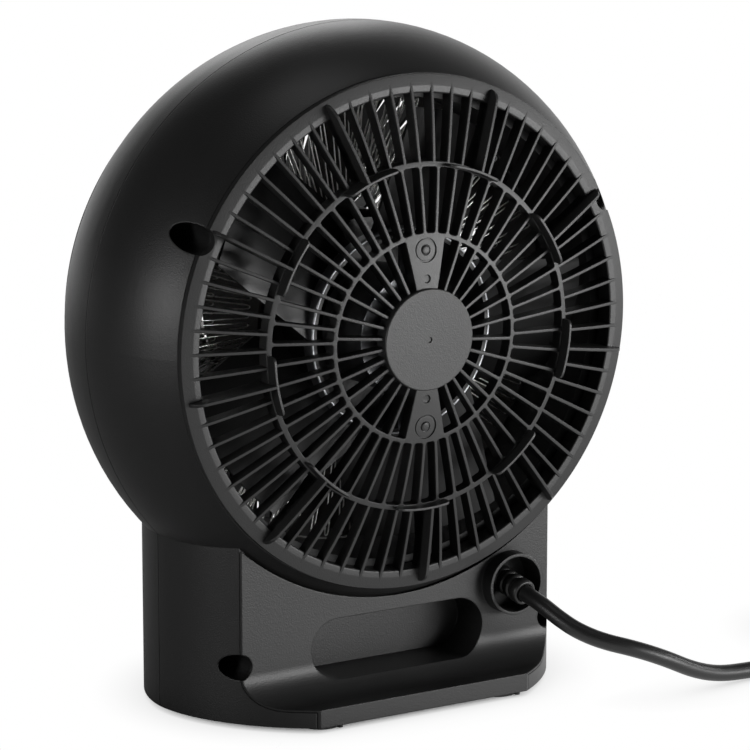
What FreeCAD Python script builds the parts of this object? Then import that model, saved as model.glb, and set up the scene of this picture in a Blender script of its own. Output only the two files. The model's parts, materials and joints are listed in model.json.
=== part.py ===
import FreeCAD, Part
import math
import os
from FreeCAD import Vector

# Fan heater with a ball-shaped head on an oval base, in millimetres.
# X runs across, Y from the air outlet (minus) to the air intake (plus) and Z up from the floor.
# While modelling, Y is counted from the plane of the seam between the two housing shells.

# Clearances
seam_gap = 0.4          # between the two shells, and round every inserted panel
loose_gap = 0.3         # between neighbours that only locate each other
slip_gap = 0.05         # radial, a turning spindle or shaft in its bush
snug_gap = 0.02         # radial, a piece pushed onto a shaft or into a hole
run_past = 1.0          # how far a cut or a joined form runs past the face it meets

# Head
head_radius = 130.0
head_half_depth = 100.0
ball_bottom = 38.0      # lowest point of the ball above the floor
head_height = ball_bottom + head_radius
shell_wall = 2.6
grille_seat = 49.5      # from the seam plane to the planes where the grilles sit
seat_radius = head_radius * math.sqrt(1 - (grille_seat / head_half_depth) ** 2)

# Base
base_half_width = 96.0
base_half_depth = 82.3
base_fullness = 1.85    # exponent of the oval, where 2 is an ellipse
oval_points = 64
base_bottom = 2.5       # underside of the walls above the floor
rear_face = 43.1        # flat rear panel, from the seam plane
cove_radius = 14.0
plinth_top = 10.6
plinth_rear = 65.9
panel_lip = 0.8         # thin edge of the rear panel that laps over the side walls
panel_thickness = 2.6
panel_ball_gap = 1.1    # between the ball and the panel's upper edge
front_face = 66.0       # flat control face, from the seam plane
front_step = 40.0       # upper front wall of the base, below the ball
ledge_height = 50.0
plate_thickness = 3.0
floor_top = 62.0        # the ball has no floor inside the base below this height
floor_margin = 6.0      # what is left of that floor along the front and rear walls

# Finger recess in the rear panel
recess_share = 0.563    # of the panel's width
recess_half_height = 13.4
recess_height = 29.6
recess_depth = 20.0
recess_wall = 1.6

# Cord inlet
inlet_inset = 20.7      # from the panel's corner
inlet_height = 47.1
collar_radius = 14.0
collar_bore = 12.6
collar_proud = 7.0
collar_floor = 6.0      # depth of the collar's floor below the rear face
floor_thickness = 2.4
boot_radius = 5.8
boot_end_radius = 5.1
boot_ribs = 3
boot_rib_gap = 1.4
boot_length = 17.3      # from the knuckle above the collar's floor to the end of the boot
boot_knuckle = 1.2
boot_droop = 10.0       # degrees that the boot hangs down, and turns aside
boot_yaw = 3.0
boot_flange_radius = 8.0
boot_flange_thickness = 2.0
cord_diameter = 7.4
shelf_half_width = 14.0
shelf_length = 40.0
shelf_thickness = 3.0
clamp_width = 8.0
clamp_thickness = 3.0
clamp_screw_offset = 9.0
inner_cord_length = 14.0
terminal_length = 15.0
terminal_height = 13.0
terminal_half_width = 11.0
port_spacing = 6.0
port_radius = 1.6
port_depth = 9.0

# Screws and their bosses
upper_well_angle = 26.2  # degrees above the level through the ball's centre
upper_well_offset = 1.7  # outside the edge of the grille's seat
upper_well_radius = 6.3
lower_well_offset = 0.8  # outside the panel's corner
lower_well_height = 27.9
lower_well_radius = 5.75
well_wall = 1.8
well_floor = 10.0       # front side of the well's floor, from the seam plane
well_floor_thickness = 3.0
boss_radius = 4.5
screw_radius = 1.8
screw_head_radius = 3.6
screw_head_height = 2.4
screw_reach = 14.0      # length of thread in the boss
plate_screw_head = 1.6
cross_reach = 0.7       # half length of the cross slot, as a share of the head's radius
plate_boss_radius = 5.2
plate_boss_inset = 5.0  # from the inside of the wall, across
plate_boss_height = 16.0
boss_end_wall = 2.0
plate_boss_front = -25.0
plate_boss_rear = 22.0
small_screw_radius = 1.4
small_head_radius = 2.8
small_head_height = 1.8

# Feet
foot_radius = 9.0
foot_stem_radius = 3.0
foot_x = 46.0
rear_foot_y = 53.0
front_foot_y = -48.0
pip_offset = -3.7       # across, from each rear foot
pip_radius = 1.3
pip_height = 1.5

# Grilles
grille_radius = seat_radius
ring_width = 8.5
ring_inner = grille_radius - ring_width
ring_edge = 2.9         # straight edge of the ring above its seat
ring_crown = 4.0        # height of the ring's crest above its seat
ring_land = 3.2         # flat face of the ring beside its inner edge
lip_radius = 0.9        # rounded inner lip of the ring
skirt_depth = 6.5
skirt_thickness = 2.4
skirt_taper = 2.0       # height over which the skirt narrows
dome_top = 67.1
dome_edge = 51.8
rib_depth = 6.0
front_rib_depth = 10.0
rib_width = 1.5
zone_ring = 2.4         # width of the two rings between the zones of ribs
hub_zone = 22.6
inner_zone = 45.0
middle_zone = 75.0
rib_overlap = 2.7       # that the outer ribs run onto the ring
rib_tip = ring_inner + rib_overlap
rib_first_angle = 90.0
rear_ribs = (30, 50, 65)
front_ribs = (30, 50, 75)
arm_gaps = 2            # gaps that each solid arm fills in the inner zone
hub_cap_radius = 22.25
hub_cap_top = 68.3
hub_cap_thickness = 2.8
hub_edge_radius = 0.6
hub_pin_radius = 3.0
hub_pin_length = 3.0
dimple_radius = 1.4
dimple_depth = 0.6
arm_boss_radius = 38.7  # distance of the motor's screws from the axis
boss_mark_radius = 5.4
boss_mark_width = 0.7
boss_mark_depth = 0.4
arm_dot_radius = 2.0
arm_pip_place = 26.3
arm_pip_radius = 1.8
arm_pip_height = 0.7
stand_off_count = 9
stand_off_height = 5.5
stand_off_half_angle = 10.0
stand_off_inset = 2.0   # from the ring's outer edge
stand_off_reach = grille_radius - stand_off_inset

# Motor, fan and heating element
motor_seat = 56.0       # rear side of the motor bracket
bracket_thickness = 2.0
bracket_half_width = 7.0
can_radius = 27.0
can_wall = 1.5
can_front = 24.0
bush_radius = 5.0
bush_length = 6.5
bush_proud = 1.0
motor_screw_reach = 4.0
shaft_radius = 2.5
shaft_rear = 58.0
shaft_front = 4.5
rotor_radius = 14.4
rotor_gap = 0.6
core_front = 34.0
core_rear = 47.0
winding_outer = 23.0
winding_length = 3.5
cup_radius = 45.0
cup_wall = 2.0
cup_front = 14.0
cup_rear = 46.0
cup_floor = 2.5
fan_boss_radius = 8.0
fan_boss_front = 9.0
fan_boss_rear = 21.0
nut_radius = 5.0
nut_thickness = 3.5
fan_clearance = 4.6     # between the blades and the duct
fan_blades = 5
blade_first_angle = 140.0
blade_half_chord = 29.0
blade_half_rise = 13.5
blade_camber = 5.0
blade_thickness = 1.8
blade_middle = 30.0
duct_inset = 2.9        # from the ring's inner edge
duct_inner = ring_inner - duct_inset
fan_radius = duct_inner - fan_clearance
duct_wall = 1.8
flange_inset = 5.0      # from the grille's outer edge
duct_flange = grille_radius - flange_inset
heater_rear = 3.0
heater_front = -27.0
sleeve_radius = 47.0
sleeve_front = -46.0    # the sleeve runs on towards the front grille
mica_thickness = 1.2
mica_cards = 6
card_first_angle = 30.0
band_thickness = 0.9
ribbon_inner = 52.0
ribbon_clearance = 5.6  # between the folds and the duct
ribbon_outer = duct_inner - ribbon_clearance
ribbon_folds = 44
ribbon_width = 0.8
ribbon_depth = 1.2
ribbon_break = 2.5
cutout_radius = 8.0
cutout_cap_radius = 5.6
cutout_height = 7.0
cutout_body_height = 4.2
cutout_x = 15.0
fuse_radius = 2.2
fuse_length = 14.0

# Controls on the front
fascia_inset = 5.3      # from the corners of the control face
fascia_low = 7.5
fascia_high = 46.0
fascia_thickness = 2.6
knob_share = 0.54       # place of each knob across, as a share of the fascia's half width
knob_height = 27.0
knob_radius = 17.0
knob_skirt = 3.0
grip_radius = 13.0
grip_flutes = 18
flute_radius = 1.1
knob_length = 14.0
knob_gap = 0.6
pointer_width = 2.2
pointer_height = 1.2
spindle_radius = 3.0
spindle_seat = 4.0      # depth of the spindle's socket left closed at the knob's face
control_half = 14.0
control_depth = 17.0
control_bush_radius = 4.6
spindle_tail = 9.0
lamp_radius = 3.2
lamp_proud = 1.2
lamp_edge_radius = 1.0
lamp_length = 12.0

# Mains cord: route points by hand, from just outside the boot across the floor to the coil
cord_first_run = 6.0    # straight out of the boot
cord_route = [
    (-60.5, 67.7, 41.2),
    (-62.9, 75.4, 37.3),
    (-67.6, 83.6, 32.5),
    (-75.8, 91.8, 28.3),
    (-88.6, 98.7, 24.6),
    (-103.5, 101.2, 18.5),
    (-119.2, 100.2, 10.6),
    (-135.0, 98.2, 5.6),
    (-153.0, 96.6, 4.2),
    (-171.0, 96.0, 3.9),
    (-189.0, 96.5, 4.0),
    (-207.0, 98.2, 4.5),
]
coil_join = (-238.0, 104.5, 5.2)
cord_last_run = 16.0    # straight into the coil
arc_share = 0.45        # of the shorter run beside a corner, taken by the corner's arc
coil_outer = 48.0       # radius of the outermost turn's centre line
coil_start = 75.0       # degrees round the coil where the cord joins it
coil_turns = 2.375      # turns in each of the two layers
coil_climb = 0.5        # turns in which the spiral reverses and climbs
coil_pitch = 8.2
coil_samples = 48       # points per turn for measuring the gaps
tie_width = 9.0
tie_thickness = 1.0
tie_gap = 0.5
tie_angle = 100.0
tail_first_run = 14.0
tail_route = [
    (-306.4, 42.3, 11.2),
    (-309.4, 28.5, 8.4),
    (-310.9, 15.5, 7.2),
    (-311.4, 3.5, 7.2),
]
plug_length = 38.0
plug_half_width = 17.5
plug_half_height = 6.9
plug_neck_length = 14.0
plug_neck_radius = 5.4
pin_spacing = 19.0
pin_radius = 2.4
pin_length = 19.0
pin_tip_radius = 1.4

rear_reach = hub_cap_top
front_reach = front_face + knob_gap + knob_length + pointer_height
seam_shift = (front_reach - rear_reach) / 2
far = 400.0             # beyond every piece
made = []


# Small helpers
def block(x0, x1, y0, y1, z0, z1):
    return Part.makeBox(x1 - x0, y1 - y0, z1 - z0, Vector(x0, y0, z0))


def along_y(x, z, radius, start, end):
    return Part.makeCylinder(radius, end - start, Vector(x, start, z), Vector(0, 1, 0))


def along_z(x, y, radius, low, high):
    return Part.makeCylinder(radius, high - low, Vector(x, y, low))


def pipe_y(x, z, outer, inner, start, end):
    return along_y(x, z, outer, start, end).cut(along_y(x, z, inner, start, end))


def polar(radius, angle, y=0.0):
    turn = math.radians(angle)
    return Vector(-radius * math.cos(turn), y, head_height + radius * math.sin(turn))


def spin(shape, angle):
    turned = shape.copy()
    turned.rotate(Vector(0, 0, head_height), Vector(0, 1, 0), angle)
    return turned


def flip_y(shape):
    return shape.mirror(Vector(0, 0, 0), Vector(0, 1, 0))


def save(name, shape):
    shape = shape.removeSplitter()
    placed = shape.translated(Vector(0, seam_shift, 0))
    placed.exportStep("parts/" + name + ".step")
    made.append(name)
    good = placed.isValid()
    print(name, len(placed.Solids), round(placed.Volume, 1), "valid" if good else "NOT VALID")


def turned_face(edges):
    face = Part.Face(Part.Wire(edges))
    solid = face.revolve(Vector(0, 0, 0), Vector(0, 1, 0), 360)
    return solid.translated(Vector(0, 0, head_height))


def line(a, b):
    return Part.LineSegment(Vector(*a), Vector(*b)).toShape()


def arc(a, b, c):
    return Part.Arc(Vector(*a), Vector(*b), Vector(*c)).toShape()


def screw(x, z, seat, radius, cap_radius, cap_height, length):
    crown = seat + cap_height
    cap = along_y(x, z, cap_radius, seat, crown)
    shank = along_y(x, z, radius, seat - length, seat)
    slot_floor = crown - cap_height / 2
    reach = cap_radius * cross_reach
    half = radius / 3
    across = block(x - reach, x + reach, slot_floor, crown, z - half, z + half)
    upright = block(x - half, x + half, slot_floor, crown, z - reach, z + reach)
    return cap.fuse(shank).cut([across, upright])


# Head and base forms
def ball(grow):
    half = Part.Ellipse(Vector(0, 0, 0), head_radius + grow, head_half_depth + grow)
    edge = Part.ArcOfEllipse(half, -math.pi / 2, math.pi / 2).toShape()
    depth = head_half_depth + grow
    return turned_face([edge, line((0, depth, 0), (0, -depth, 0))])


def half_width(y, grow):
    share = abs(y) / (base_half_depth + grow)
    return (base_half_width + grow) * (1 - share ** base_fullness) ** (1 / base_fullness)


def rounded_share(value):
    return math.copysign(abs(value) ** (2 / base_fullness), value)


def oval(grow, low, high):
    points = []
    for index in range(oval_points):
        turn = 2 * math.pi * index / oval_points
        x = (base_half_width + grow) * rounded_share(math.cos(turn))
        y = (base_half_depth + grow) * rounded_share(math.sin(turn))
        points.append(Vector(x, y, low))
    rim = Part.BSplineCurve()
    rim.interpolate(points, PeriodicFlag=True)
    return Part.Face(Part.Wire(rim.toShape())).extrude(Vector(0, 0, high - low))


def slab(start, end):
    return block(-far, far, start, end, -far, far)


def rear_limit(depth):
    bend_y = rear_face + cove_radius
    bend_z = plinth_top + cove_radius
    radius = cove_radius + depth
    face_y = rear_face - depth
    foot_z = plinth_top - depth
    middle = radius * math.sqrt(0.5)
    edges = [
        line((0, -far, -far), (0, far, -far)),
        line((0, far, -far), (0, far, foot_z)),
        line((0, far, foot_z), (0, bend_y, foot_z)),
        arc((0, bend_y, foot_z), (0, bend_y - middle, bend_z - middle), (0, face_y, bend_z)),
        line((0, face_y, bend_z), (0, face_y, far)),
        line((0, face_y, far), (0, -far, far)),
        line((0, -far, far), (0, -far, -far)),
    ]
    face = Part.Face(Part.Wire(edges))
    return face.extrude(Vector(2 * far, 0, 0)).translated(Vector(-far, 0, 0))


def front_limit(depth):
    low = block(-far, far, -front_face + depth, far, -far, ledge_height - depth)
    high = block(-far, far, -front_step + depth, far, ledge_height - depth - run_past, far)
    return low.fuse(high)


def wells():
    turn = math.radians(upper_well_angle)
    reach = seat_radius + upper_well_offset
    for side in (-1, 1):
        yield side * reach * math.cos(turn), head_height + reach * math.sin(turn), upper_well_radius
        yield side * (panel_half_width + lower_well_offset), lower_well_height, lower_well_radius


def plate_bosses():
    for y in (plate_boss_front, plate_boss_rear):
        reach = half_width(y, -shell_wall) - plate_boss_inset
        for side in (-1, 1):
            yield side * reach, y


def screw_bore(x, z):
    start = well_floor - screw_reach - run_past
    end = well_floor + well_floor_thickness + run_past
    return along_y(x, z, screw_radius + slip_gap, start, end)


def plate_boss(x, y):
    low = base_bottom + plate_thickness
    post = along_z(x, y, plate_boss_radius, low, low + plate_boss_height)
    bore_end = low + plate_boss_height - boss_end_wall
    return post.cut(along_z(x, y, screw_radius + slip_gap, low, bore_end))


def floor_opening():
    inner = oval(-shell_wall - floor_margin, base_bottom, floor_top)
    return inner.common(slab(-front_step + floor_margin, rear_face - floor_margin))


panel_half_width = half_width(rear_face, 0)
recess_half_width = recess_share * panel_half_width
inlet_x = inlet_inset - panel_half_width
fascia_half_width = half_width(front_face, 0) - fascia_inset
knob_x = knob_share * fascia_half_width
skin_front = plinth_rear - panel_lip    # front side of the panel's skin over the plinth
column_top = head_height - head_radius / 2
ball_solid = ball(0)
ball_core = ball(-shell_wall)
ball_space = ball(loose_gap)
base_solid = oval(0, base_bottom, column_top)
base_core = oval(-shell_wall, -far, far)


def rear_shell():
    band = ball_solid.cut([ball_core, floor_opening()]).common(slab(seam_gap / 2, grille_seat))
    skirt_space = rear_limit(panel_lip + loose_gap)
    block_rear = base_solid.common(skirt_space).common(slab(seam_gap / 2, skin_front - loose_gap))
    hollow = base_core.common(slab(-far, skin_front - shell_wall))
    walls = block_rear.cut(hollow).cut(ball(-shell_wall / 2))
    pieces = [walls]
    for x, z, radius in wells():
        tube = along_y(x, z, radius + well_wall, well_floor, plinth_rear)
        limit = ball_solid.common(slab(0, grille_seat)) if z > head_height else block_rear
        pieces.append(tube.common(limit))
    for x, y in plate_bosses():
        if y > 0:
            pieces.append(plate_boss(x, y).common(base_solid))
    for side in (-1, 1):
        pip_x = side * foot_x + pip_offset
        pip_y = skin_front - loose_gap - pip_radius
        pip_low = base_bottom - pip_height
        pieces.append(along_z(pip_x, pip_y, pip_radius, pip_low, base_bottom + run_past))
    shell = band.multiFuse(pieces)
    cuts = []
    for x, z, radius in wells():
        cuts.append(along_y(x, z, radius, well_floor + well_floor_thickness, far))
        cuts.append(screw_bore(x, z))
    save("rear_shell", shell.cut(cuts))


def front_shell():
    band = ball_solid.cut([ball_core, floor_opening()]).common(slab(-grille_seat, -seam_gap / 2))
    front_half = slab(-far, -seam_gap / 2)
    block_front = base_solid.common(front_limit(0)).common(front_half)
    hollow = base_core.common(front_limit(shell_wall))
    walls = block_front.cut(hollow).cut(ball(-shell_wall / 2))
    pieces = [walls]
    for x, z, radius in wells():
        if z > head_height:
            start = skirt_depth + loose_gap - grille_seat
            limit = ball_solid
        else:
            start = -grille_seat
            limit = base_solid.common(front_limit(0))
        pieces.append(along_y(x, z, boss_radius, start, well_floor).common(limit))
    for x, y in plate_bosses():
        if y < 0:
            pieces.append(plate_boss(x, y).common(base_solid))
    shell = band.multiFuse(pieces)
    gap = loose_gap
    window = block(-fascia_half_width - gap, fascia_half_width + gap, -far, -front_face + 2 * shell_wall,
                   fascia_low - gap, fascia_high + gap)
    cuts = [window]
    for x, z, radius in wells():
        cuts.append(screw_bore(x, z))
    save("front_shell", shell.cut(cuts))


def stadium(half_width, half_height, start, end):
    middle = half_width - half_height
    body = block(-middle, middle, start, end, recess_height - half_height, recess_height + half_height)
    ends = [along_y(side * middle, recess_height, half_height, start, end) for side in (-1, 1)]
    return body.multiFuse(ends).removeSplitter()


def rear_panel():
    outer = base_solid.common(slab(0, plinth_rear))
    inner = oval(-shell_wall - loose_gap, base_bottom, column_top)
    inner = inner.common(slab(0, skin_front - shell_wall - loose_gap))
    lip = rear_limit(0).cut(rear_limit(panel_lip)).common(outer)
    skin = rear_limit(panel_lip / 2).common(outer).common(slab(skin_front, plinth_rear))
    backing = rear_limit(panel_lip).cut(rear_limit(panel_thickness)).common(inner)
    rooms = [along_y(x, z, radius + well_wall + loose_gap, 0, far) for x, z, radius in wells()]
    backing = backing.cut(rooms)
    panel = lip.multiFuse([skin, backing]).cut(ball(panel_ball_gap))

    back = rear_face - recess_depth
    pocket = stadium(recess_half_width + recess_wall, recess_half_height + recess_wall, back - recess_wall,
                     plinth_rear).common(rear_limit(panel_lip))
    inner_face = rear_face - collar_floor - floor_thickness
    collar = along_y(inlet_x, inlet_height, collar_radius, inner_face, rear_face + collar_proud)
    shelf_top = inlet_height - cord_diameter / 2 - slip_gap
    shelf = block(inlet_x - shelf_half_width, inlet_x + shelf_half_width, rear_face - shelf_length,
                  rear_face - panel_lip, shelf_top - shelf_thickness, shelf_top)
    panel = panel.multiFuse([pocket, collar.cut(ball_space), shelf])

    cuts = [stadium(recess_half_width, recess_half_height, back, far)]
    cuts.append(along_y(inlet_x, inlet_height, collar_bore, rear_face - collar_floor, far))
    cuts.append(along_y(inlet_x, inlet_height, boot_radius + snug_gap, 0, far))
    flange_room = inner_face - boot_flange_thickness - loose_gap
    cuts.append(along_y(inlet_x, inlet_height, boot_flange_radius + loose_gap, flange_room, inner_face))
    for x, z, radius in wells():
        if z < head_height:
            cuts.append(along_y(x, z, radius, 0, far))
    for offset in (-clamp_screw_offset, clamp_screw_offset):
        hole = small_screw_radius + slip_gap
        cuts.append(along_z(inlet_x + offset, clamp_place(), hole, 0, inlet_height))
    save("rear_panel", panel.cut(cuts))


def clamp_place():
    return rear_face - collar_floor - floor_thickness - boot_flange_thickness - clamp_width


def base_plate():
    gap = shell_wall + loose_gap
    plate = oval(-gap, base_bottom, base_bottom + plate_thickness)
    plate = plate.common(slab(-front_face + gap, skin_front - gap))
    cuts = []
    for x, y in plate_bosses():
        cuts.append(along_z(x, y, screw_radius + loose_gap, 0, far))
        cuts.append(along_z(x, y, screw_head_radius + loose_gap, 0, base_bottom + plate_screw_head))
    for x, y in foot_places():
        cuts.append(along_z(x, y, foot_stem_radius + snug_gap, 0, far))
    save("base_plate", plate.cut(cuts))


def foot_places():
    for y in (front_foot_y, rear_foot_y):
        for side in (-1, 1):
            yield side * foot_x, y


def feet():
    solids = []
    for x, y in foot_places():
        pad = along_z(x, y, foot_radius, 0, base_bottom)
        pad = pad.makeFillet(base_bottom / 3, [e for e in pad.Edges if e.BoundBox.ZMax < base_bottom / 2])
        stem = along_z(x, y, foot_stem_radius, base_bottom / 2, base_bottom + plate_thickness)
        solids.append(pad.fuse(stem).removeSplitter())
    save("rubber_feet", Part.makeCompound(solids))


def housing_screws():
    seat = well_floor + well_floor_thickness
    length = well_floor_thickness + screw_reach
    upper = []
    lower = []
    for x, z, radius in wells():
        group = upper if z > head_height else lower
        group.append(screw(x, z, seat, screw_radius, screw_head_radius, screw_head_height, length))
    save("upper_housing_screws", Part.makeCompound(upper))
    save("lower_housing_screws", Part.makeCompound(lower))
    solids = []
    for x, y in plate_bosses():
        top = base_bottom + plate_screw_head
        head = along_z(x, y, screw_head_radius, base_bottom, top)
        shank = along_z(x, y, screw_radius, top, top + screw_reach)
        solids.append(head.fuse(shank))
    save("base_plate_screws", Part.makeCompound(solids))


# Grilles
dome_drop = dome_top - dome_edge
dome_sphere = (grille_radius ** 2 + dome_drop ** 2) / (2 * dome_drop)


def dome(radius):
    return dome_top - dome_sphere + math.sqrt(dome_sphere ** 2 - radius ** 2)


def slot_face(inner, outer, start, end):
    half = rib_width / 2
    near = math.degrees(math.asin(half / inner))
    away = math.degrees(math.asin(half / outer))
    middle = (start + end) / 2
    corners = [polar(inner, start + near), polar(outer, start + away), polar(outer, end - away),
               polar(inner, end - near)]
    edges = [
        Part.LineSegment(corners[0], corners[1]).toShape(),
        Part.Arc(corners[1], polar(outer, middle), corners[2]).toShape(),
        Part.LineSegment(corners[2], corners[3]).toShape(),
        Part.Arc(corners[3], polar(inner, middle), corners[0]).toShape(),
    ]
    return Part.Face(Part.Wire(edges))


def slots(counts, arms):
    half_ring = zone_ring / 2
    zones = [
        (hub_zone + half_ring, inner_zone - half_ring),
        (inner_zone + half_ring, middle_zone - half_ring),
        (middle_zone + half_ring, rib_tip + run_past),
    ]
    solids = []
    for zone, (inner, outer) in enumerate(zones):
        step = 360.0 / counts[zone]
        for index in range(counts[zone]):
            start = rib_first_angle + index * step
            centre = (start + step / 2) % 180
            if zone == 0 and abs(centre - 90) < arms * step / 2:
                continue
            face = slot_face(inner, outer, start, start + step)
            solids.append(face.extrude(Vector(0, dome_top, 0)))
    return solids


def grille_body(counts, arms, drop):
    half = rib_tip / 2
    lattice = turned_face([
        arc((0, dome(0), 0), (half, dome(half), 0), (rib_tip, dome(rib_tip), 0)),
        line((rib_tip, dome(rib_tip), 0), (rib_tip, dome(rib_tip) - drop, 0)),
        arc((rib_tip, dome(rib_tip) - drop, 0), (half, dome(half) - drop, 0), (0, dome(0) - drop, 0)),
        line((0, dome(0) - drop, 0), (0, dome(0), 0)),
    ])
    lattice = lattice.cut(slots(counts, arms))
    seat = grille_seat
    crest = seat + ring_crown
    bend = lip_radius * math.sqrt(0.5)
    lip_middle = (ring_inner + lip_radius - bend, crest - lip_radius + bend, 0)
    skirt_outer = (head_radius - shell_wall) * math.sqrt(1 - (seat / (head_half_depth - shell_wall)) ** 2)
    skirt_outer = skirt_outer - loose_gap
    skirt_inner = skirt_outer - skirt_thickness
    low = seat - skirt_depth
    ring = turned_face([
        line((grille_radius, seat, 0), (grille_radius, seat + ring_edge, 0)),
        line((grille_radius, seat + ring_edge, 0), (ring_inner + ring_land, crest, 0)),
        line((ring_inner + ring_land, crest, 0), (ring_inner + lip_radius, crest, 0)),
        arc((ring_inner + lip_radius, crest, 0), lip_middle, (ring_inner, crest - lip_radius, 0)),
        line((ring_inner, crest - lip_radius, 0), (ring_inner, low + skirt_taper, 0)),
        line((ring_inner, low + skirt_taper, 0), (skirt_inner, low, 0)),
        line((skirt_inner, low, 0), (skirt_outer, low, 0)),
        line((skirt_outer, low, 0), (skirt_outer, seat, 0)),
        line((skirt_outer, seat, 0), (grille_radius, seat, 0)),
    ])
    return lattice.fuse(ring)


def stand_offs(count):
    step = 360.0 / count
    thin = zone_ring / 2
    for index in range(stand_off_count):
        centre = 270 + index * 360.0 / stand_off_count
        base = dome(middle_zone) - rib_depth / 2
        crown = dome(middle_zone) + stand_off_height
        ring = pipe_y(0, head_height, middle_zone + thin, middle_zone - thin, base, crown)
        wedge = [polar(0, 0, base), polar(far, centre - stand_off_half_angle, base),
                 polar(far, centre + stand_off_half_angle, base)]
        sector = Part.Face(Part.makePolygon(wedge + [wedge[0]])).extrude(Vector(0, crown, 0))
        yield ring.common(sector)
        rib = rib_first_angle + round((centre - rib_first_angle) / step) * step
        top = [stand_off_height + dome(r) for r in (middle_zone, (middle_zone + rib_tip) / 2, rib_tip)]
        end_drop = stand_off_reach - rib_tip
        bend = 1 - math.sqrt(0.5)
        low = grille_seat + ring_edge / 2
        edges = [
            line((middle_zone, base, 0), (middle_zone, top[0], 0)),
            arc((middle_zone, top[0], 0), ((middle_zone + rib_tip) / 2, top[1], 0), (rib_tip, top[2], 0)),
            arc((rib_tip, top[2], 0), (rib_tip + end_drop * (1 - bend), top[2] - end_drop * bend, 0),
                (stand_off_reach, top[2] - end_drop, 0)),
            line((stand_off_reach, top[2] - end_drop, 0), (stand_off_reach, low, 0)),
            line((stand_off_reach, low, 0), (middle_zone, base, 0)),
        ]
        fin = Part.Face(Part.Wire(edges)).extrude(Vector(0, 0, rib_width))
        fin = fin.translated(Vector(0, 0, head_height - rib_width / 2))
        yield spin(fin, rib - 180)


def rear_grille():
    body = grille_body(rear_ribs, arm_gaps, rib_depth)
    pieces = list(stand_offs(rear_ribs[2]))
    cuts = []
    for side in (-1, 1):
        z = head_height + side * arm_boss_radius
        crown = dome(arm_boss_radius)
        pieces.append(along_y(0, z, boss_radius, motor_seat, crown - run_past))
        pip_z = head_height + side * arm_pip_place
        pip_top = dome(arm_pip_place) + arm_pip_height
        pieces.append(along_y(0, pip_z, arm_pip_radius, crown - run_past, pip_top))
        mark_floor = dome(arm_boss_radius + boss_mark_radius) - boss_mark_depth
        cuts.append(pipe_y(0, z, boss_mark_radius, boss_mark_radius - boss_mark_width, mark_floor, dome_top))
        cuts.append(along_y(0, z, arm_dot_radius, crown - dimple_depth, dome_top))
        cuts.append(along_y(0, z, small_screw_radius + slip_gap, motor_seat, crown - rib_depth / 2))
    floor = hub_cap_top - hub_cap_thickness
    cuts.append(along_y(0, head_height, hub_cap_radius + loose_gap / 2, floor, dome_top + run_past))
    cuts.append(along_y(0, head_height, hub_pin_radius + snug_gap, floor - hub_pin_length, dome_top))
    for x, z, radius in wells():
        if z > head_height:
            cuts.append(along_y(x, z, radius + well_wall + loose_gap, 0, grille_seat))
            cuts.append(along_y(x, z, radius, 0, far))
    save("rear_grille", body.multiFuse(pieces).cut(cuts))


def hub_cap():
    floor = hub_cap_top - hub_cap_thickness
    disc = along_y(0, head_height, hub_cap_radius, floor, hub_cap_top)
    rim = [edge for edge in disc.Edges if edge.BoundBox.YMin > floor + hub_cap_thickness / 2]
    disc = disc.makeFillet(hub_edge_radius, rim)
    pin = along_y(0, head_height, hub_pin_radius, floor - hub_pin_length, floor + run_past)
    dimple = along_y(0, head_height, dimple_radius, hub_cap_top - dimple_depth, hub_cap_top)
    save("rear_hub_cap", disc.fuse(pin).cut(dimple))


def front_grille():
    save("front_grille", flip_y(grille_body(front_ribs, 0, front_rib_depth)))


# Motor, fan and heating element
def motor():
    low = motor_seat - bracket_thickness
    reach = arm_boss_radius
    plate = along_y(0, head_height, can_radius, low, motor_seat)
    strip = block(-bracket_half_width, bracket_half_width, low, motor_seat, head_height - reach,
                  head_height + reach)
    ends = [along_y(0, head_height + s * reach, bracket_half_width, low, motor_seat) for s in (-1, 1)]
    holes = [along_y(0, head_height + s * reach, small_screw_radius + loose_gap, 0, far) for s in (-1, 1)]
    holes.append(along_y(0, head_height, bush_radius + snug_gap, 0, far))
    save("motor_bracket", plate.multiFuse([strip] + ends).cut(holes))

    can = along_y(0, head_height, can_radius, can_front, low)
    bore = along_y(0, head_height, can_radius - can_wall, can_front + can_wall, far)
    can = can.cut([bore, along_y(0, head_height, bush_radius + snug_gap, 0, far)])
    save("motor_can", can)

    rear = motor_seat + bush_proud
    front = can_front - bush_proud
    hole = shaft_radius + slip_gap
    bushes = [pipe_y(0, head_height, bush_radius, hole, start, start + bush_length)
              for start in (front, rear - bush_length)]
    save("motor_bushes", Part.makeCompound(bushes))

    core = pipe_y(0, head_height, can_radius - can_wall - slip_gap, rotor_radius + rotor_gap, core_front,
                  core_rear)
    save("motor_stator", core)
    inner = rotor_radius + 2 * rotor_gap
    coils = [pipe_y(0, head_height, winding_outer, inner, start, start + winding_length)
             for start in (core_front - winding_length, core_rear)]
    save("motor_windings", Part.makeCompound(coils))

    screws = []
    for side in (-1, 1):
        length = bracket_thickness + motor_screw_reach
        one = screw(0, head_height + side * arm_boss_radius, -low, small_screw_radius, small_head_radius,
                    small_head_height, length)
        screws.append(flip_y(one))
    save("motor_screws", Part.makeCompound(screws))


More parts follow.
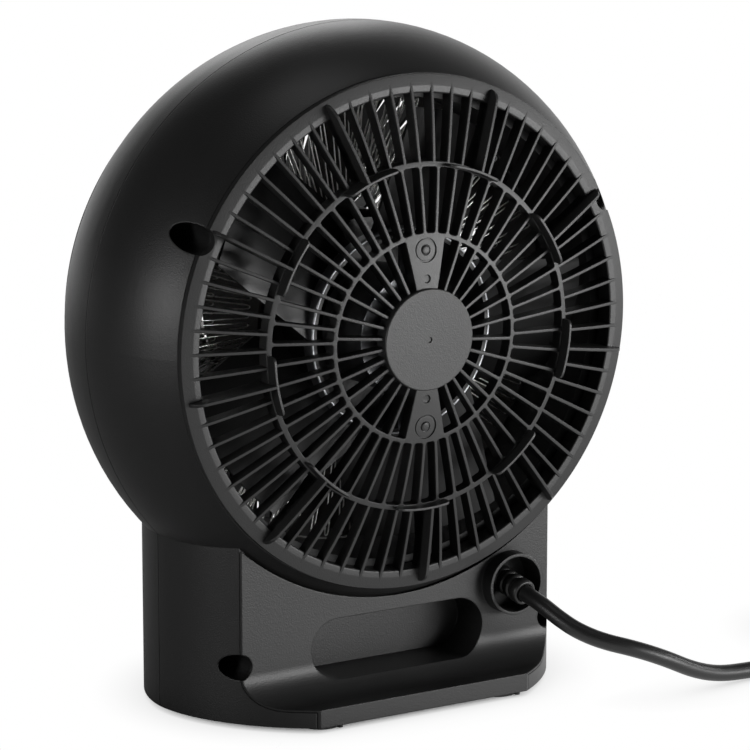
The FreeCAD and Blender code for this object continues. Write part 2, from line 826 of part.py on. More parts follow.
def fan():
    shaft = along_y(0, head_height, shaft_radius, shaft_front, shaft_rear)
    save("motor_shaft", shaft)
    rotor = pipe_y(0, head_height, rotor_radius, shaft_radius + snug_gap, core_front, core_rear)
    save("motor_rotor", rotor)

    cup = along_y(0, head_height, cup_radius, cup_front, cup_rear)
    cup = cup.cut(along_y(0, head_height, cup_radius - cup_wall, cup_front + cup_floor, far))
    boss = along_y(0, head_height, fan_boss_radius, fan_boss_front, fan_boss_rear)
    inner_limit = pipe_y(0, head_height, fan_radius, cup_radius - cup_wall / 2, 0, far)
    blades = [spin(blade().common(inner_limit), blade_first_angle + index * 360.0 / fan_blades)
              for index in range(fan_blades)]
    wheel = cup.multiFuse([boss] + blades)
    save("fan_wheel", wheel.cut(along_y(0, head_height, shaft_radius + snug_gap, 0, far)))

    nut = along_y(0, head_height, nut_radius, fan_boss_front - nut_thickness, fan_boss_front)
    flat = block(nut_radius * math.cos(math.pi / 6), far, 0, far, -far, far)
    for side in range(6):
        nut = nut.cut(spin(flat.translated(Vector(0, 0, head_height)), side * 60))
    save("fan_nut", nut.cut(along_y(0, head_height, shaft_radius + snug_gap, 0, far)))


def blade():
    upper = blade_half_rise
    chord = blade_half_chord
    middle = blade_camber
    thick = blade_thickness
    edges = [
        arc((0, upper, chord), (0, middle, 0), (0, -upper, -chord)),
        line((0, -upper, -chord), (0, -upper - thick, -chord)),
        arc((0, -upper - thick, -chord), (0, middle - thick, 0), (0, upper - thick, chord)),
        line((0, upper - thick, chord), (0, upper, chord)),
    ]
    face = Part.Face(Part.Wire(edges))
    solid = face.extrude(Vector(-fan_radius, 0, 0))
    return solid.translated(Vector(0, blade_middle, head_height))


def duct():
    outer = duct_inner + duct_wall
    end = grille_seat - skirt_depth - loose_gap
    tube = pipe_y(0, head_height, outer, duct_inner, -end, end)
    flanges = [pipe_y(0, head_height, duct_flange, duct_inner, start, start + duct_wall)
               for start in (-end, end - duct_wall)]
    body = tube.multiFuse(flanges)
    cuts = []
    for x, z, radius in wells():
        if z > head_height:
            cuts.append(along_y(x, z, radius + well_wall + loose_gap, -far, far))
    save("air_duct", body.cut(cuts))


def star(outer, inner, y):
    points = []
    for index in range(2 * ribbon_folds):
        radius = outer if index % 2 else inner
        points.append(polar(radius, 270 + index * 180.0 / ribbon_folds, y))
    return Part.Face(Part.makePolygon(points + [points[0]]))


def ribbon(y):
    turn = math.pi / ribbon_folds
    run = math.sqrt(ribbon_outer ** 2 + ribbon_inner ** 2
                    - 2 * ribbon_outer * ribbon_inner * math.cos(turn))
    half = ribbon_width / 2
    out_grow = half * run / (ribbon_inner * math.sin(turn))
    in_grow = half * run / (ribbon_outer * math.sin(turn))
    wide = star(ribbon_outer + out_grow, ribbon_inner + in_grow, y)
    narrow = star(ribbon_outer - out_grow, ribbon_inner - in_grow, y)
    band = wide.cut(narrow).extrude(Vector(0, ribbon_depth, 0))
    return band.cut(block(-ribbon_break, ribbon_break, -far, far, 0, head_height))


def heater():
    rear = heater_rear
    front = heater_front
    save("heater_sleeve", pipe_y(0, head_height, sleeve_radius, sleeve_radius - mica_thickness,
                                 sleeve_front, rear))
    band_inner = duct_inner - band_thickness - slip_gap
    save("heater_band", pipe_y(0, head_height, duct_inner - slip_gap, band_inner, front, rear))
    card = block(sleeve_radius + snug_gap, band_inner - snug_gap, front, rear,
                 head_height - mica_thickness / 2, head_height + mica_thickness / 2)
    ring = pipe_y(0, head_height, band_inner - snug_gap, sleeve_radius + snug_gap, front, rear)
    turns = [card_first_angle + index * 360.0 / mica_cards for index in range(mica_cards)]
    save("mica_cards", Part.makeCompound([spin(card, turn).common(ring) for turn in turns]))
    save("rear_heating_ribbon", ribbon(rear))
    save("front_heating_ribbon", ribbon(front - ribbon_depth))
    disc_rear = sleeve_front + mica_thickness
    disc = along_y(0, head_height, sleeve_radius - mica_thickness - snug_gap, sleeve_front, disc_rear)
    save("heater_core_disc", disc)
    body = along_y(cutout_x, head_height, cutout_radius, disc_rear, disc_rear + cutout_body_height)
    cap = along_y(cutout_x, head_height, cutout_cap_radius, disc_rear, disc_rear + cutout_height)
    save("overheat_cutout", body.fuse(cap))
    fuse_low = head_height - fuse_length / 2
    fuse_y = disc_rear + fuse_radius + slip_gap
    fuse = along_z(-cutout_x, fuse_y, fuse_radius, fuse_low, fuse_low + fuse_length)
    save("thermal_fuse", fuse)


# Controls
def control_places():
    return (("thermostat", -knob_x), ("selector", knob_x))


def controls():
    back = -front_face + fascia_thickness
    plate = block(-fascia_half_width, fascia_half_width, -front_face, back, fascia_low, fascia_high)
    cuts = [along_y(0, knob_height, lamp_radius + snug_gap, -far, far)]
    for name, x in control_places():
        cuts.append(along_y(x, knob_height, control_bush_radius + snug_gap, -far, far))
    save("control_fascia", plate.cut(cuts))

    for name, x in control_places():
        body = block(x - control_half, x + control_half, back, back + control_depth,
                     knob_height - control_half, knob_height + control_half)
        bush = along_y(x, knob_height, control_bush_radius, -front_face, back + run_past)
        socket = along_y(x, knob_height, spindle_radius + slip_gap, -far, back + spindle_tail + loose_gap)
        save(name + "_body", body.fuse(bush).cut(socket))
        face = -front_face - knob_gap - knob_length
        spindle = along_y(x, knob_height, spindle_radius, face + spindle_seat, back + spindle_tail)
        save(name + "_spindle", spindle)
        save(name + "_knob", knob(x))

    lens = along_y(0, knob_height, lamp_radius, -front_face - lamp_proud, back)
    rim = [edge for edge in lens.Edges if edge.BoundBox.YMax < -front_face]
    save("pilot_lens", lens.makeFillet(lamp_edge_radius, rim))
    save("pilot_lamp", along_y(0, knob_height, lamp_radius, back, back + lamp_length))


def knob(x):
    rear = -front_face - knob_gap
    face = rear - knob_length
    skirt = along_y(x, knob_height, knob_radius, rear - knob_skirt, rear)
    rim = [edge for edge in skirt.Edges if edge.BoundBox.YMax < rear - knob_skirt / 2]
    skirt = skirt.makeFillet(knob_skirt / 2, rim)
    grip = along_y(x, knob_height, grip_radius, face, rear)
    rim = [edge for edge in grip.Edges if edge.BoundBox.YMax < face + knob_skirt]
    grip = grip.makeFillet(knob_skirt / 3, rim)
    flutes = []
    for index in range(grip_flutes):
        turn = 2 * math.pi * (index + 0.5) / grip_flutes
        flutes.append(along_y(x + grip_radius * math.cos(turn), knob_height + grip_radius * math.sin(turn),
                              flute_radius, face - run_past, rear - knob_skirt))
    grip = grip.cut(flutes)
    pointer = block(x - pointer_width / 2, x + pointer_width / 2, face - pointer_height, face + run_past,
                    knob_height, knob_height + grip_radius - 2 * flute_radius)
    body = skirt.multiFuse([grip, pointer])
    return body.cut(along_y(x, knob_height, spindle_radius + snug_gap, face + spindle_seat, far))


# Cord inlet pieces
def boot_axis():
    droop = math.radians(boot_droop)
    yaw = math.radians(boot_yaw)
    return Vector(-math.sin(yaw) * math.cos(droop), math.cos(yaw) * math.cos(droop), -math.sin(droop))


def knuckle():
    return Vector(inlet_x, rear_face - collar_floor + boot_knuckle, inlet_height)


def along_boot(radius, start, end):
    axis = boot_axis()
    return Part.makeCylinder(radius, end - start, knuckle() + axis * start, axis)


def inlet():
    floor = rear_face - collar_floor
    inner = floor - floor_thickness
    flange_front = inner - boot_flange_thickness
    radius = cord_diameter / 2
    bend = knuckle()
    cone = Part.makeCone(boot_radius, boot_end_radius, boot_length, bend, boot_axis())
    root = along_y(inlet_x, inlet_height, boot_radius, inner, bend.y)
    flange = along_y(inlet_x, inlet_height, boot_flange_radius, flange_front, inner)
    boot = cone.multiFuse([root, flange, Part.makeSphere(boot_radius, bend)])
    inner_end = flange_front - inner_cord_length
    straight = along_y(inlet_x, inlet_height, radius, inner_end, bend.y)
    leaving = along_boot(radius, 0, boot_length)
    core = straight.multiFuse([leaving, Part.makeSphere(radius, bend)])
    fit = radius + snug_gap
    cuts = [along_y(inlet_x, inlet_height, fit, 0, bend.y), along_boot(fit, 0, boot_length),
            Part.makeSphere(fit, bend)]
    step = boot_length / (2 * boot_ribs)
    for index in range(boot_ribs):
        start = 3 * boot_rib_gap + index * step
        ring = along_boot(boot_radius + run_past, start, start + boot_rib_gap)
        cuts.append(ring.cut(along_boot(boot_end_radius - boot_rib_gap / 2, start, start + boot_rib_gap)))
    save("strain_relief_boot", boot.cut(cuts))
    save("inner_cord", core)

    place = clamp_place()
    low = inlet_height - radius - slip_gap
    top = inlet_height + radius + slip_gap
    half = clamp_screw_offset + 2 * small_screw_radius
    bar = block(inlet_x - half, inlet_x + half, place - clamp_width / 2, place + clamp_width / 2, low,
                top + clamp_thickness)
    room = block(inlet_x - radius - slip_gap, inlet_x + radius + slip_gap, 0, far, low, inlet_height)
    holes = [along_z(inlet_x + s * clamp_screw_offset, place, small_screw_radius + slip_gap, 0, far)
             for s in (-1, 1)]
    tunnel = along_y(inlet_x, inlet_height, radius + slip_gap, 0, far)
    save("cord_clamp", bar.cut([room, tunnel] + holes))
    screws = []
    for side in (-1, 1):
        x = inlet_x + side * clamp_screw_offset
        head_low = top + clamp_thickness
        head = along_z(x, place, small_head_radius, head_low, head_low + small_head_height)
        shank = along_z(x, place, small_screw_radius, low - shelf_thickness, head_low)
        screws.append(head.fuse(shank))
    save("clamp_screws", Part.makeCompound(screws))

    half = terminal_half_width
    terminal = block(inlet_x - half, inlet_x + half, inner_end - terminal_length, inner_end, low,
                     low + terminal_height)
    ports = []
    for offset in (-port_spacing, 0, port_spacing):
        port_floor = low + terminal_height - port_depth
        ports.append(along_z(inlet_x + offset, inner_end - terminal_length / 2, port_radius, port_floor, far))
    save("terminal_block", terminal.cut(ports))


# Mains cord
def unit(vector):
    return vector.multiply(1 / vector.Length)


def rounded_path(points):
    edges = []
    here = points[0]
    for before, corner, after in zip(points, points[1:], points[2:]):
        back = unit(before - corner)
        ahead = unit(after - corner)
        turn = math.pi - back.getAngle(ahead)
        shorter = min((before - corner).Length, (after - corner).Length)
        cut = arc_share * shorter
        radius = cut / math.tan(turn / 2)
        print("  cord turn", round(math.degrees(turn), 1), "radius", round(radius, 1))
        start = corner + back * cut
        end = corner + ahead * cut
        centre = corner + unit(back + ahead) * (radius / math.cos(turn / 2))
        middle = centre + unit(corner - centre) * radius
        edges.append(Part.LineSegment(here, start).toShape())
        edges.append(Part.Arc(start, middle, end).toShape())
        here = end
    edges.append(Part.LineSegment(here, points[-1]).toShape())
    return Part.Wire(edges)


def tube(path, start, direction, name):
    rim = Part.Wire(Part.makeCircle(cord_diameter / 2, start, direction))
    solid = path.makePipeShell([rim], True, False)
    expected = math.pi * cord_diameter ** 2 / 4 * path.Length
    print("  ", name, "length", round(path.Length, 1), "volume ratio", round(solid.Volume / expected, 4))
    return solid


def coil_centre():
    turn = math.radians(coil_start)
    return Vector(*coil_join) - Vector(math.cos(turn), math.sin(turn), 0) * coil_outer


def coil_point(turn):
    inner = coil_outer - coil_turns * coil_pitch
    past = turn - coil_turns
    if past <= 0:
        radius = inner - coil_pitch * past
        rise = 0
    elif past <= coil_climb:
        share = past / coil_climb
        radius = inner - coil_pitch * past * (1 - share)
        rise = share - math.sin(2 * math.pi * share) / (2 * math.pi)
    else:
        radius = inner + coil_pitch * (past - coil_climb)
        rise = 1
    angle = math.radians(coil_start + 360 * turn)
    offset = Vector(radius * math.cos(angle), radius * math.sin(angle), coil_pitch * rise)
    return coil_centre() + offset


def coil_heading(turn):
    small = 0.001
    return unit(coil_point(turn + small) - coil_point(turn - small))


def half_arc(start, heading, end):
    chord = end - start
    along = chord * (1 / chord.Length)
    side = unit(heading - along * heading.dot(along))
    bend = heading.getAngle(chord)
    middle = (start + end) * 0.5 + side * (chord.Length / 2 * math.tan(bend / 2))
    return Part.Arc(start, middle, end).toShape()


def biarc(start, heading, end, leaving):
    span = end - start
    total = heading + leaving
    spread = 2 * (1 - heading.dot(leaving))
    push = (-span.dot(total) + math.sqrt(span.dot(total) ** 2 + spread * span.dot(span))) / spread
    joint = ((start + heading * push) + (end - leaving * push)) * 0.5
    first = half_arc(start, heading, joint)
    second = half_arc(end, leaving * -1, joint)
    return [first, second]


def coil_path(total):
    quarter = 0.25
    steps = int(round(total / quarter))
    edges = []
    for index in range(steps):
        begin = index * quarter
        finish = begin + quarter
        edges.extend(biarc(coil_point(begin), coil_heading(begin), coil_point(finish), coil_heading(finish)))
    return Part.Wire(Part.__sortEdges__(edges))


def coil_gap(total):
    count = int(total * coil_samples)
    points = [coil_point(total * index / count) for index in range(count + 1)]
    least = far
    for index, point in enumerate(points):
        for other in points[index + coil_samples // 2:]:
            least = min(least, (point - other).Length)
    return least - cord_diameter


def cord():
    axis = boot_axis()
    leaving = knuckle() + axis * boot_length
    joining = coil_point(0) - coil_heading(0) * cord_last_run
    route = [leaving, leaving + axis * cord_first_run] + [Vector(*point) for point in cord_route]
    route += [joining, coil_point(0)]
    save("cord_lead", tube(rounded_path(route), route[0], axis, "cord_lead"))

    total = 2 * coil_turns + coil_climb
    save("cord_coil", tube(coil_path(total), coil_point(0), coil_heading(0), "cord_coil"))
    print("   least gap between turns", round(coil_gap(total), 2))
    coil_tie()

    end = coil_point(total)
    heading = coil_heading(total)
    route = [end, end + heading * tail_first_run] + [Vector(*point) for point in tail_route]
    save("cord_tail", tube(rounded_path(route), end, heading, "cord_tail"))
    plug(route[-1], unit(route[-1] - route[-2]))


def coil_tie():
    inner = coil_outer - coil_turns * coil_pitch - cord_diameter / 2 - tie_gap
    outer = coil_outer + cord_diameter / 2 + tie_gap
    low = coil_centre().z - cord_diameter / 2 - tie_gap
    high = coil_centre().z + coil_pitch + cord_diameter / 2 + tie_gap
    half = tie_width / 2
    wrap = tie_thickness
    band = block(inner - wrap, outer + wrap, -half, half, low - wrap, high + wrap)
    band = band.cut(block(inner, outer, -half, half, low, high))
    band.rotate(Vector(0, 0, 0), Vector(0, 0, 1), tie_angle)
    save("coil_tie", band.translated(Vector(coil_centre().x, coil_centre().y, 0)))


def plug(place, heading):
    def lay(shape):
        turn = math.degrees(math.atan2(heading.y, heading.x)) - 90
        shape.rotate(Vector(0, 0, 0), Vector(0, 0, 1), turn)
        return shape.translated(place)

    middle = plug_half_width - plug_half_height
    start = plug_neck_length
    end = start + plug_length
    body = block(-middle, middle, start, end, -plug_half_height, plug_half_height)
    sides = [along_y(side * middle, 0, plug_half_height, start, end) for side in (-1, 1)]
    neck = Part.makeCone(plug_neck_radius, plug_half_height, plug_neck_length + run_past, Vector(0, 0, 0),
                         Vector(0, 1, 0))
    save("plug_body", lay(body.multiFuse(sides + [neck]).removeSplitter()))
    pins = []
    for side in (-1, 1):
        pin = along_y(side * pin_spacing / 2, 0, pin_radius, end, end + pin_length)
        tip = [edge for edge in pin.Edges if edge.BoundBox.YMin > end + pin_length / 2]
        pins.append(lay(pin.makeFillet(pin_tip_radius, tip)))
    save("plug_pins", Part.makeCompound(pins))


def main():
    os.makedirs("parts", exist_ok=True)
    rear_shell()
    front_shell()
    rear_panel()
    base_plate()
    feet()
    housing_screws()
    rear_grille()
    hub_cap()
    front_grille()
    motor()
    fan()
    duct()
    heater()
    controls()
    inlet()
    cord()
    print(len(made), "nodes")


main()
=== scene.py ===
import json
import math

import bpy
import bmesh
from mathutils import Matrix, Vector
from mathutils.geometry import delaunay_2d_cdt


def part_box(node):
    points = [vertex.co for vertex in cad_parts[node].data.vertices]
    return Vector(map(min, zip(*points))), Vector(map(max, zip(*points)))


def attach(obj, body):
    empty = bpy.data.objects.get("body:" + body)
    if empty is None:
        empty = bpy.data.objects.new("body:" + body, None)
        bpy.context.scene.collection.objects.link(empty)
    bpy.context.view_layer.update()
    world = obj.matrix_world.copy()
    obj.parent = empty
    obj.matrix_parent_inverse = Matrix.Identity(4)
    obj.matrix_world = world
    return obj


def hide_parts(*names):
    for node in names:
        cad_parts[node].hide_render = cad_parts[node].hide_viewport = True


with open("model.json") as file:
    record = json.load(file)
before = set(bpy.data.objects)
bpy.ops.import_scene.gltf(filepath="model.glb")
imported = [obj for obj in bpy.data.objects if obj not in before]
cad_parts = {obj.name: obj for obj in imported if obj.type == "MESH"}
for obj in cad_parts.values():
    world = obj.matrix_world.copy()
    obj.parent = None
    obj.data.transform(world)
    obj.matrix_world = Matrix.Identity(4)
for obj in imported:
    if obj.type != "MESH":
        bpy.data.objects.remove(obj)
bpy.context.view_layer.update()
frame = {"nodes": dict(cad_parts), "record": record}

nodes = frame["nodes"]
mm = 0.001
print("stage: frame loaded,", len(nodes), "nodes")


# Camera

viewSettings = {
    "ringCentre": (0.0, 58.18, 168.0),  # mm, middle of the intake ring
    "azimuth": 147.638,
    "elevation": 11.779,
    "distance": 1759.1,
    "aimAside": -14.40,  # mm, the ring sits right of the picture's middle
    "aimUp": -18.06,  # and above it
    "lens": 195.7,
}


def makeCamera(view):
    around = math.radians(view["azimuth"])
    above = math.radians(view["elevation"])
    flat = math.cos(above)
    back = Vector((math.sin(around) * flat, -math.cos(around) * flat, math.sin(above)))
    right = Vector((math.cos(around), math.sin(around), 0))
    up = back.cross(right)
    centre = Vector(view["ringCentre"]) * mm
    aim = centre + (right * view["aimAside"] + up * view["aimUp"]) * mm
    data = bpy.data.cameras.new("photoCamera")
    data.lens = view["lens"]
    data.sensor_width = 36
    data.clip_start = 0.05
    data.clip_end = 50
    camera = bpy.data.objects.new("photoCamera", data)
    camera.location = centre + back * view["distance"] * mm
    camera.rotation_euler = (aim - camera.location).to_track_quat("-Z", "Y").to_euler()
    bpy.context.scene.collection.objects.link(camera)
    bpy.context.scene.camera = camera
    return right, back


right, back = makeCamera(viewSettings)
print("stage: camera placed")


# Shader groups

def newGroup(name, inputs, outputs):
    group = bpy.data.node_groups.new(name, "ShaderNodeTree")
    for label, kind, value in inputs:
        socket = group.interface.new_socket(label, in_out="INPUT", socket_type="NodeSocket" + kind)
        socket.default_value = value
    for label, kind in outputs:
        group.interface.new_socket(label, in_out="OUTPUT", socket_type="NodeSocket" + kind)
    entry = group.nodes.new("NodeGroupInput")
    leave = group.nodes.new("NodeGroupOutput")
    return group, entry.outputs, leave.inputs


def addNode(tree, kind, links=None, **settings):
    node = tree.nodes.new("ShaderNode" + kind)
    for key, value in settings.items():
        setattr(node, key, value)
    for key, value in (links or {}).items():
        if isinstance(value, bpy.types.NodeSocket):
            tree.links.new(value, node.inputs[key])
        else:
            node.inputs[key].default_value = value
    return node


def makeMouldGrain():
    # spark-eroded mould texture: fine pits, a slow drift of tone and gloss
    group, given, out = newGroup("mouldGrain", [
        ("Tint", "Color", (0.04, 0.04, 0.04, 1)),
        ("Drift", "Float", 0.2),
        ("Grain", "Float", 1800.0),
        ("Rough", "Float", 0.5),
        ("Rough Spread", "Float", 0.1),
    ], [("Color", "Color"), ("Roughness", "Float"), ("Height", "Float")])
    place = addNode(group, "TexCoord").outputs["Object"]
    fine = addNode(group, "TexNoise", {"Vector": place, "Scale": given["Grain"], "Detail": 2.0})
    slow = addNode(group, "TexNoise", {"Vector": place, "Scale": 14.0, "Detail": 3.0})
    pits = addNode(group, "TexVoronoi", {"Vector": place, "Scale": given["Grain"]})
    lift = addNode(group, "Math", {0: slow.outputs["Fac"], 1: -0.5}, operation="ADD")
    tone = addNode(group, "Math", {0: lift.outputs[0], 1: given["Drift"], 2: 1.0}, operation="MULTIPLY_ADD")
    tint = addNode(group, "VectorMath", {0: given["Tint"], "Scale": tone.outputs[0]}, operation="SCALE")
    group.links.new(tint.outputs["Vector"], out["Color"])
    sway = addNode(group, "Math", {0: fine.outputs["Fac"], 1: -0.5}, operation="ADD")
    both = addNode(group, "Math", {0: sway.outputs[0], 1: lift.outputs[0]}, operation="ADD")
    gloss = addNode(group, "Math", {0: both.outputs[0], 1: given["Rough Spread"], 2: given["Rough"]},
                    operation="MULTIPLY_ADD")
    group.links.new(gloss.outputs[0], out["Roughness"])
    depth = addNode(group, "Math", {0: fine.outputs["Fac"], 1: pits.outputs["Distance"]}, operation="ADD")
    group.links.new(depth.outputs[0], out["Height"])
    return group


def makeBrushed():
    # drawn or rolled metal: long fine streaks along one axis
    group, given, out = newGroup("brushed", [
        ("Tint", "Color", (0.5, 0.5, 0.5, 1)),
        ("Drift", "Float", 0.3),
        ("Stretch", "Vector", (400.0, 6000.0, 400.0)),
        ("Rough", "Float", 0.3),
        ("Rough Spread", "Float", 0.2),
    ], [("Color", "Color"), ("Roughness", "Float"), ("Height", "Float")])
    place = addNode(group, "TexCoord").outputs["Object"]
    along = addNode(group, "VectorMath", {0: place, 1: given["Stretch"]}, operation="MULTIPLY")
    streak = addNode(group, "TexNoise", {"Vector": along.outputs["Vector"], "Scale": 1.0, "Detail": 3.0})
    lift = addNode(group, "Math", {0: streak.outputs["Fac"], 1: -0.5}, operation="ADD")
    tone = addNode(group, "Math", {0: lift.outputs[0], 1: given["Drift"], 2: 1.0}, operation="MULTIPLY_ADD")
    tint = addNode(group, "VectorMath", {0: given["Tint"], "Scale": tone.outputs[0]}, operation="SCALE")
    group.links.new(tint.outputs["Vector"], out["Color"])
    gloss = addNode(group, "Math", {0: lift.outputs[0], 1: given["Rough Spread"], 2: given["Rough"]},
                    operation="MULTIPLY_ADD")
    group.links.new(gloss.outputs[0], out["Roughness"])
    group.links.new(streak.outputs["Fac"], out["Height"])
    return group


mouldGrain = makeMouldGrain()
brushed = makeBrushed()


def newMaterial(name):
    material = bpy.data.materials.new(name)
    material.use_nodes = True
    tree = material.node_tree
    tree.nodes.clear()
    shader = addNode(tree, "BsdfPrincipled")
    leave = addNode(tree, "OutputMaterial")
    tree.links.new(shader.outputs[0], leave.inputs["Surface"])
    return material, tree, shader


def dress(tree, shader, group, values, bump, bumpDepth, edge=0, nookShadeReach=0):
    finish = tree.nodes.new("ShaderNodeGroup")
    finish.node_tree = group
    for key, value in values.items():
        finish.inputs[key].default_value = value
    tint = finish.outputs["Color"]
    rough = finish.outputs["Roughness"]
    if nookShadeReach:
        # painted shade: ambient occlusion darkens the base colour in nooks, and the nooks are made rougher so
        # they shine less
        shade = addNode(tree, "AmbientOcclusion", {"Color": tint, "Distance": nookShadeReach}, samples=6)
        tint = shade.outputs["Color"]
        dull = addNode(tree, "Math", {0: 1.0, 1: shade.outputs["AO"]}, operation="SUBTRACT").outputs[0]
        rough = addNode(tree, "Math", {0: rough, 1: dull}, operation="MAXIMUM").outputs[0]
    tree.links.new(tint, shader.inputs["Base Color"])
    tree.links.new(rough, shader.inputs["Roughness"])
    height = finish.outputs["Height"]
    relief = addNode(tree, "Bump", {"Height": height, "Strength": bump, "Distance": bumpDepth})
    if edge:
        soft = addNode(tree, "Bevel", {"Radius": edge}, samples=5)
        tree.links.new(soft.outputs["Normal"], relief.inputs["Normal"])
    tree.links.new(relief.outputs["Normal"], shader.inputs["Normal"])
    return finish


def grey(value):
    return (value, value, value, 1)


mouldDepth = 0.0002  # m, of the mould's grain
brushDepth = 0.0001

# Moulded plastics and rubbers, by the record's slots
mouldedFinishes = {
    "black_plastic": {
        "tint": grey(0.018), "rough": 0.4, "grain": 1500, "bump": 0.18,
        "edge": 0.0007, "nookShadeReach": 0.016,  # m, softened edges and the reach of the painted shade in nooks
    },
    "grille_plastic": {"tint": grey(0.018), "rough": 0.42, "grain": 1600, "bump": 0.16},
    "fascia_plastic": {"tint": grey(0.025), "rough": 0.36, "grain": 1900, "bump": 0.1},
    "fan_plastic": {"tint": grey(0.012), "rough": 0.4, "grain": 900, "bump": 0.08},
    "duct_plastic": {"tint": grey(0.008), "rough": 0.55, "grain": 900, "bump": 0.1},
    "control_plastic": {"tint": (0.5, 0.48, 0.44, 1), "rough": 0.45, "grain": 900, "bump": 0.1},
    "cutout_plastic": {"tint": (0.04, 0.03, 0.025, 1), "rough": 0.3, "grain": 900, "bump": 0.05},
    "knob_plastic": {"tint": grey(0.04), "rough": 0.36, "grain": 1500, "bump": 0.1},
    "foot_rubber": {"tint": grey(0.018), "rough": 0.75, "grain": 1200, "bump": 0.3},
    "boot_rubber": {"tint": grey(0.014), "rough": 0.42, "grain": 1300, "bump": 0.12},
    "cord_sheath": {"tint": grey(0.014), "rough": 0.4, "grain": 1300, "bump": 0.12},
    "tie_strap": {"tint": grey(0.02), "rough": 0.5, "grain": 1100, "bump": 0.2},
    "plug_plastic": {"tint": grey(0.022), "rough": 0.45, "grain": 1300, "bump": 0.12},
    # mica: its own brown, darkened further as painted shade for the dim inside of the heater
    "mica": {"tint": (0.05, 0.043, 0.034, 1), "rough": 0.6, "grain": 500, "bump": 0.15},
    "mark_paint": {"tint": grey(0.6), "rough": 0.5, "grain": 900, "bump": 0.05},
}


def mouldedMaterial(slot, finish):
    material, tree, shader = newMaterial(slot)
    values = {
        "Tint": finish["tint"],
        "Grain": finish["grain"],
        "Rough": finish["rough"],
    }
    edge = finish.get("edge", 0)
    nookShadeReach = finish.get("nookShadeReach", 0)
    dress(tree, shader, mouldGrain, values, finish["bump"], mouldDepth, edge, nookShadeReach)
    shader.inputs["IOR"].default_value = 1.46
    return material


metalFinishes = {
    "zinc_screw": {"tint": (0.6, 0.61, 0.63, 1), "rough": 0.34},
    "bright_steel": {"tint": (0.66, 0.66, 0.67, 1), "rough": 0.22},
    "motor_steel": {"tint": (0.52, 0.53, 0.55, 1), "rough": 0.42},
    "core_steel": {"tint": (0.34, 0.34, 0.35, 1), "rough": 0.4},
    "heater_steel": {"tint": (0.09, 0.088, 0.085, 1), "rough": 0.55},
    "heating_alloy": {"tint": (0.9, 0.89, 0.87, 1), "rough": 0.32},
    "bush_bronze": {"tint": (0.6, 0.4, 0.2, 1), "rough": 0.45},
    "copper_wire": {"tint": (0.72, 0.32, 0.16, 1), "rough": 0.3},
    "plug_brass": {"tint": (0.74, 0.72, 0.68, 1), "rough": 0.2},
}


def metalMaterial(slot, finish):
    material, tree, shader = newMaterial(slot)
    dress(tree, shader, brushed, {"Tint": finish["tint"], "Rough": finish["rough"]}, 0.1, brushDepth)
    shader.inputs["Metallic"].default_value = 1.0
    return material


def lensMaterial():
    material, tree, shader = newMaterial("amber_lens")
    values = {"Tint": (0.85, 0.28, 0.03, 1), "Grain": 300, "Rough": 0.15}
    dress(tree, shader, mouldGrain, values, 0.05, mouldDepth)
    shader.inputs["Transmission Weight"].default_value = 0.5
    return material


materials = {slot: mouldedMaterial(slot, finish) for slot, finish in mouldedFinishes.items()}
materials.update({slot: metalMaterial(slot, finish) for slot, finish in metalFinishes.items()})
materials["amber_lens"] = lensMaterial()

for part in frame["record"]["subparts"]:
    mesh = nodes[part["node"]].data
    mesh.materials.clear()
    mesh.materials.append(materials[part["material_slot"]])
print("stage: materials made,", len(materials))


# Grilles: ribs with rounded crests, built round the fan's axis
# a runs to the right and b up as seen from outside, depth away from the shells' seam, all in millimetres

grilleSettings = {
    "axisHeight": 168.0,
    "seam": 6.75,  # where the shells' seam lies along Y
    "domeTop": 67.1,
    "domeDrop": 15.3,
    "ringOuter": 112.96,
    "ringInner": 104.46,
    "seat": 49.5,
    "crest": 53.5,
    "ringGap": 0.2,  # shadow line round the ring
    "ringEdge": 2.9,  # height of the outer wall
    "edgeRound": 0.35,
    "ridge": 107.66,
    "landCorner": 0.9,
    "ribHalf": 0.75,
    "round": [(0.3, 0.0), (0.17, 0.05), (0.06, 0.15), (0.0, 0.32)],  # narrowing of a crest, and its depth
    "corner": 1.1,
    "zones": [(21.8, 44.05), (45.95, 73.8)],
    "networkEdge": 76.2,
    "ribEnd": 109.3,
    "ribOverlap": 1.0,
    "ribRise": 0.35,  # of an outer rib's crest above the dome, at its end
    "skirt": [(0.0, 45.0), (2.5, 43.0), (4.9, 43.0), (4.9, 49.5)],  # out from the inner wall, and depth
}

rearSettings = {
    **grilleSettings,
    "side": 1,
    "ribs": (30, 50, 65),
    "depth": 6.0,
    "arms": True,
    "wells": [(-102.87, 50.62), (102.87, 50.62)],
    "wellRadius": 6.3,
    "wellFoot": 8.4,  # below the ring's seat
    "standOffs": 9,
    "standOffHeight": 5.5,
    "standOffSpread": 10.0,  # degrees to each side
    "standOffHalf": 0.6,
    "standOffOut": 1.2,  # past the middle zone
    "standOffRound": 2.4,
    "finEnd": 111.0,
    "finRound": 5.0,
    "finFoot": 1.6,  # its lower edge, above the ring's seat
    "buttons": [
        {"at": 38.7, "rings": [
            (5.45, 0), (5.38, 0.12), (5.3, 0.6), (4.85, 0.62), (4.75, 0.3), (4.55, 0.22), (2.45, 0.22),
            (2.3, 0.5), (2.05, 0.55), (1.95, 0.2), (1.8, 0.02), (1.3, -0.1), (0.6, -0.14),
        ]},
        {"at": 26.3, "rings": [(1.9, 0), (1.82, 0.12), (1.6, 0.7), (0.8, 0.8)]},
    ],
}

frontSettings = {
    **grilleSettings,
    "side": -1,
    "ribs": (30, 50, 75),
    "depth": 10.0,
    "zones": [(23.8, 44.05), (45.95, 73.8)],
    "arms": False,
    "wells": [],
    "standOffs": 0,
    "buttons": [],
}


def domeDepth(grille, a, b):
    drop = grille["domeDrop"]
    ball = (grille["ringOuter"] ** 2 + drop ** 2) / (2 * drop)
    return grille["domeTop"] - ball + math.sqrt(ball ** 2 - a * a - b * b)


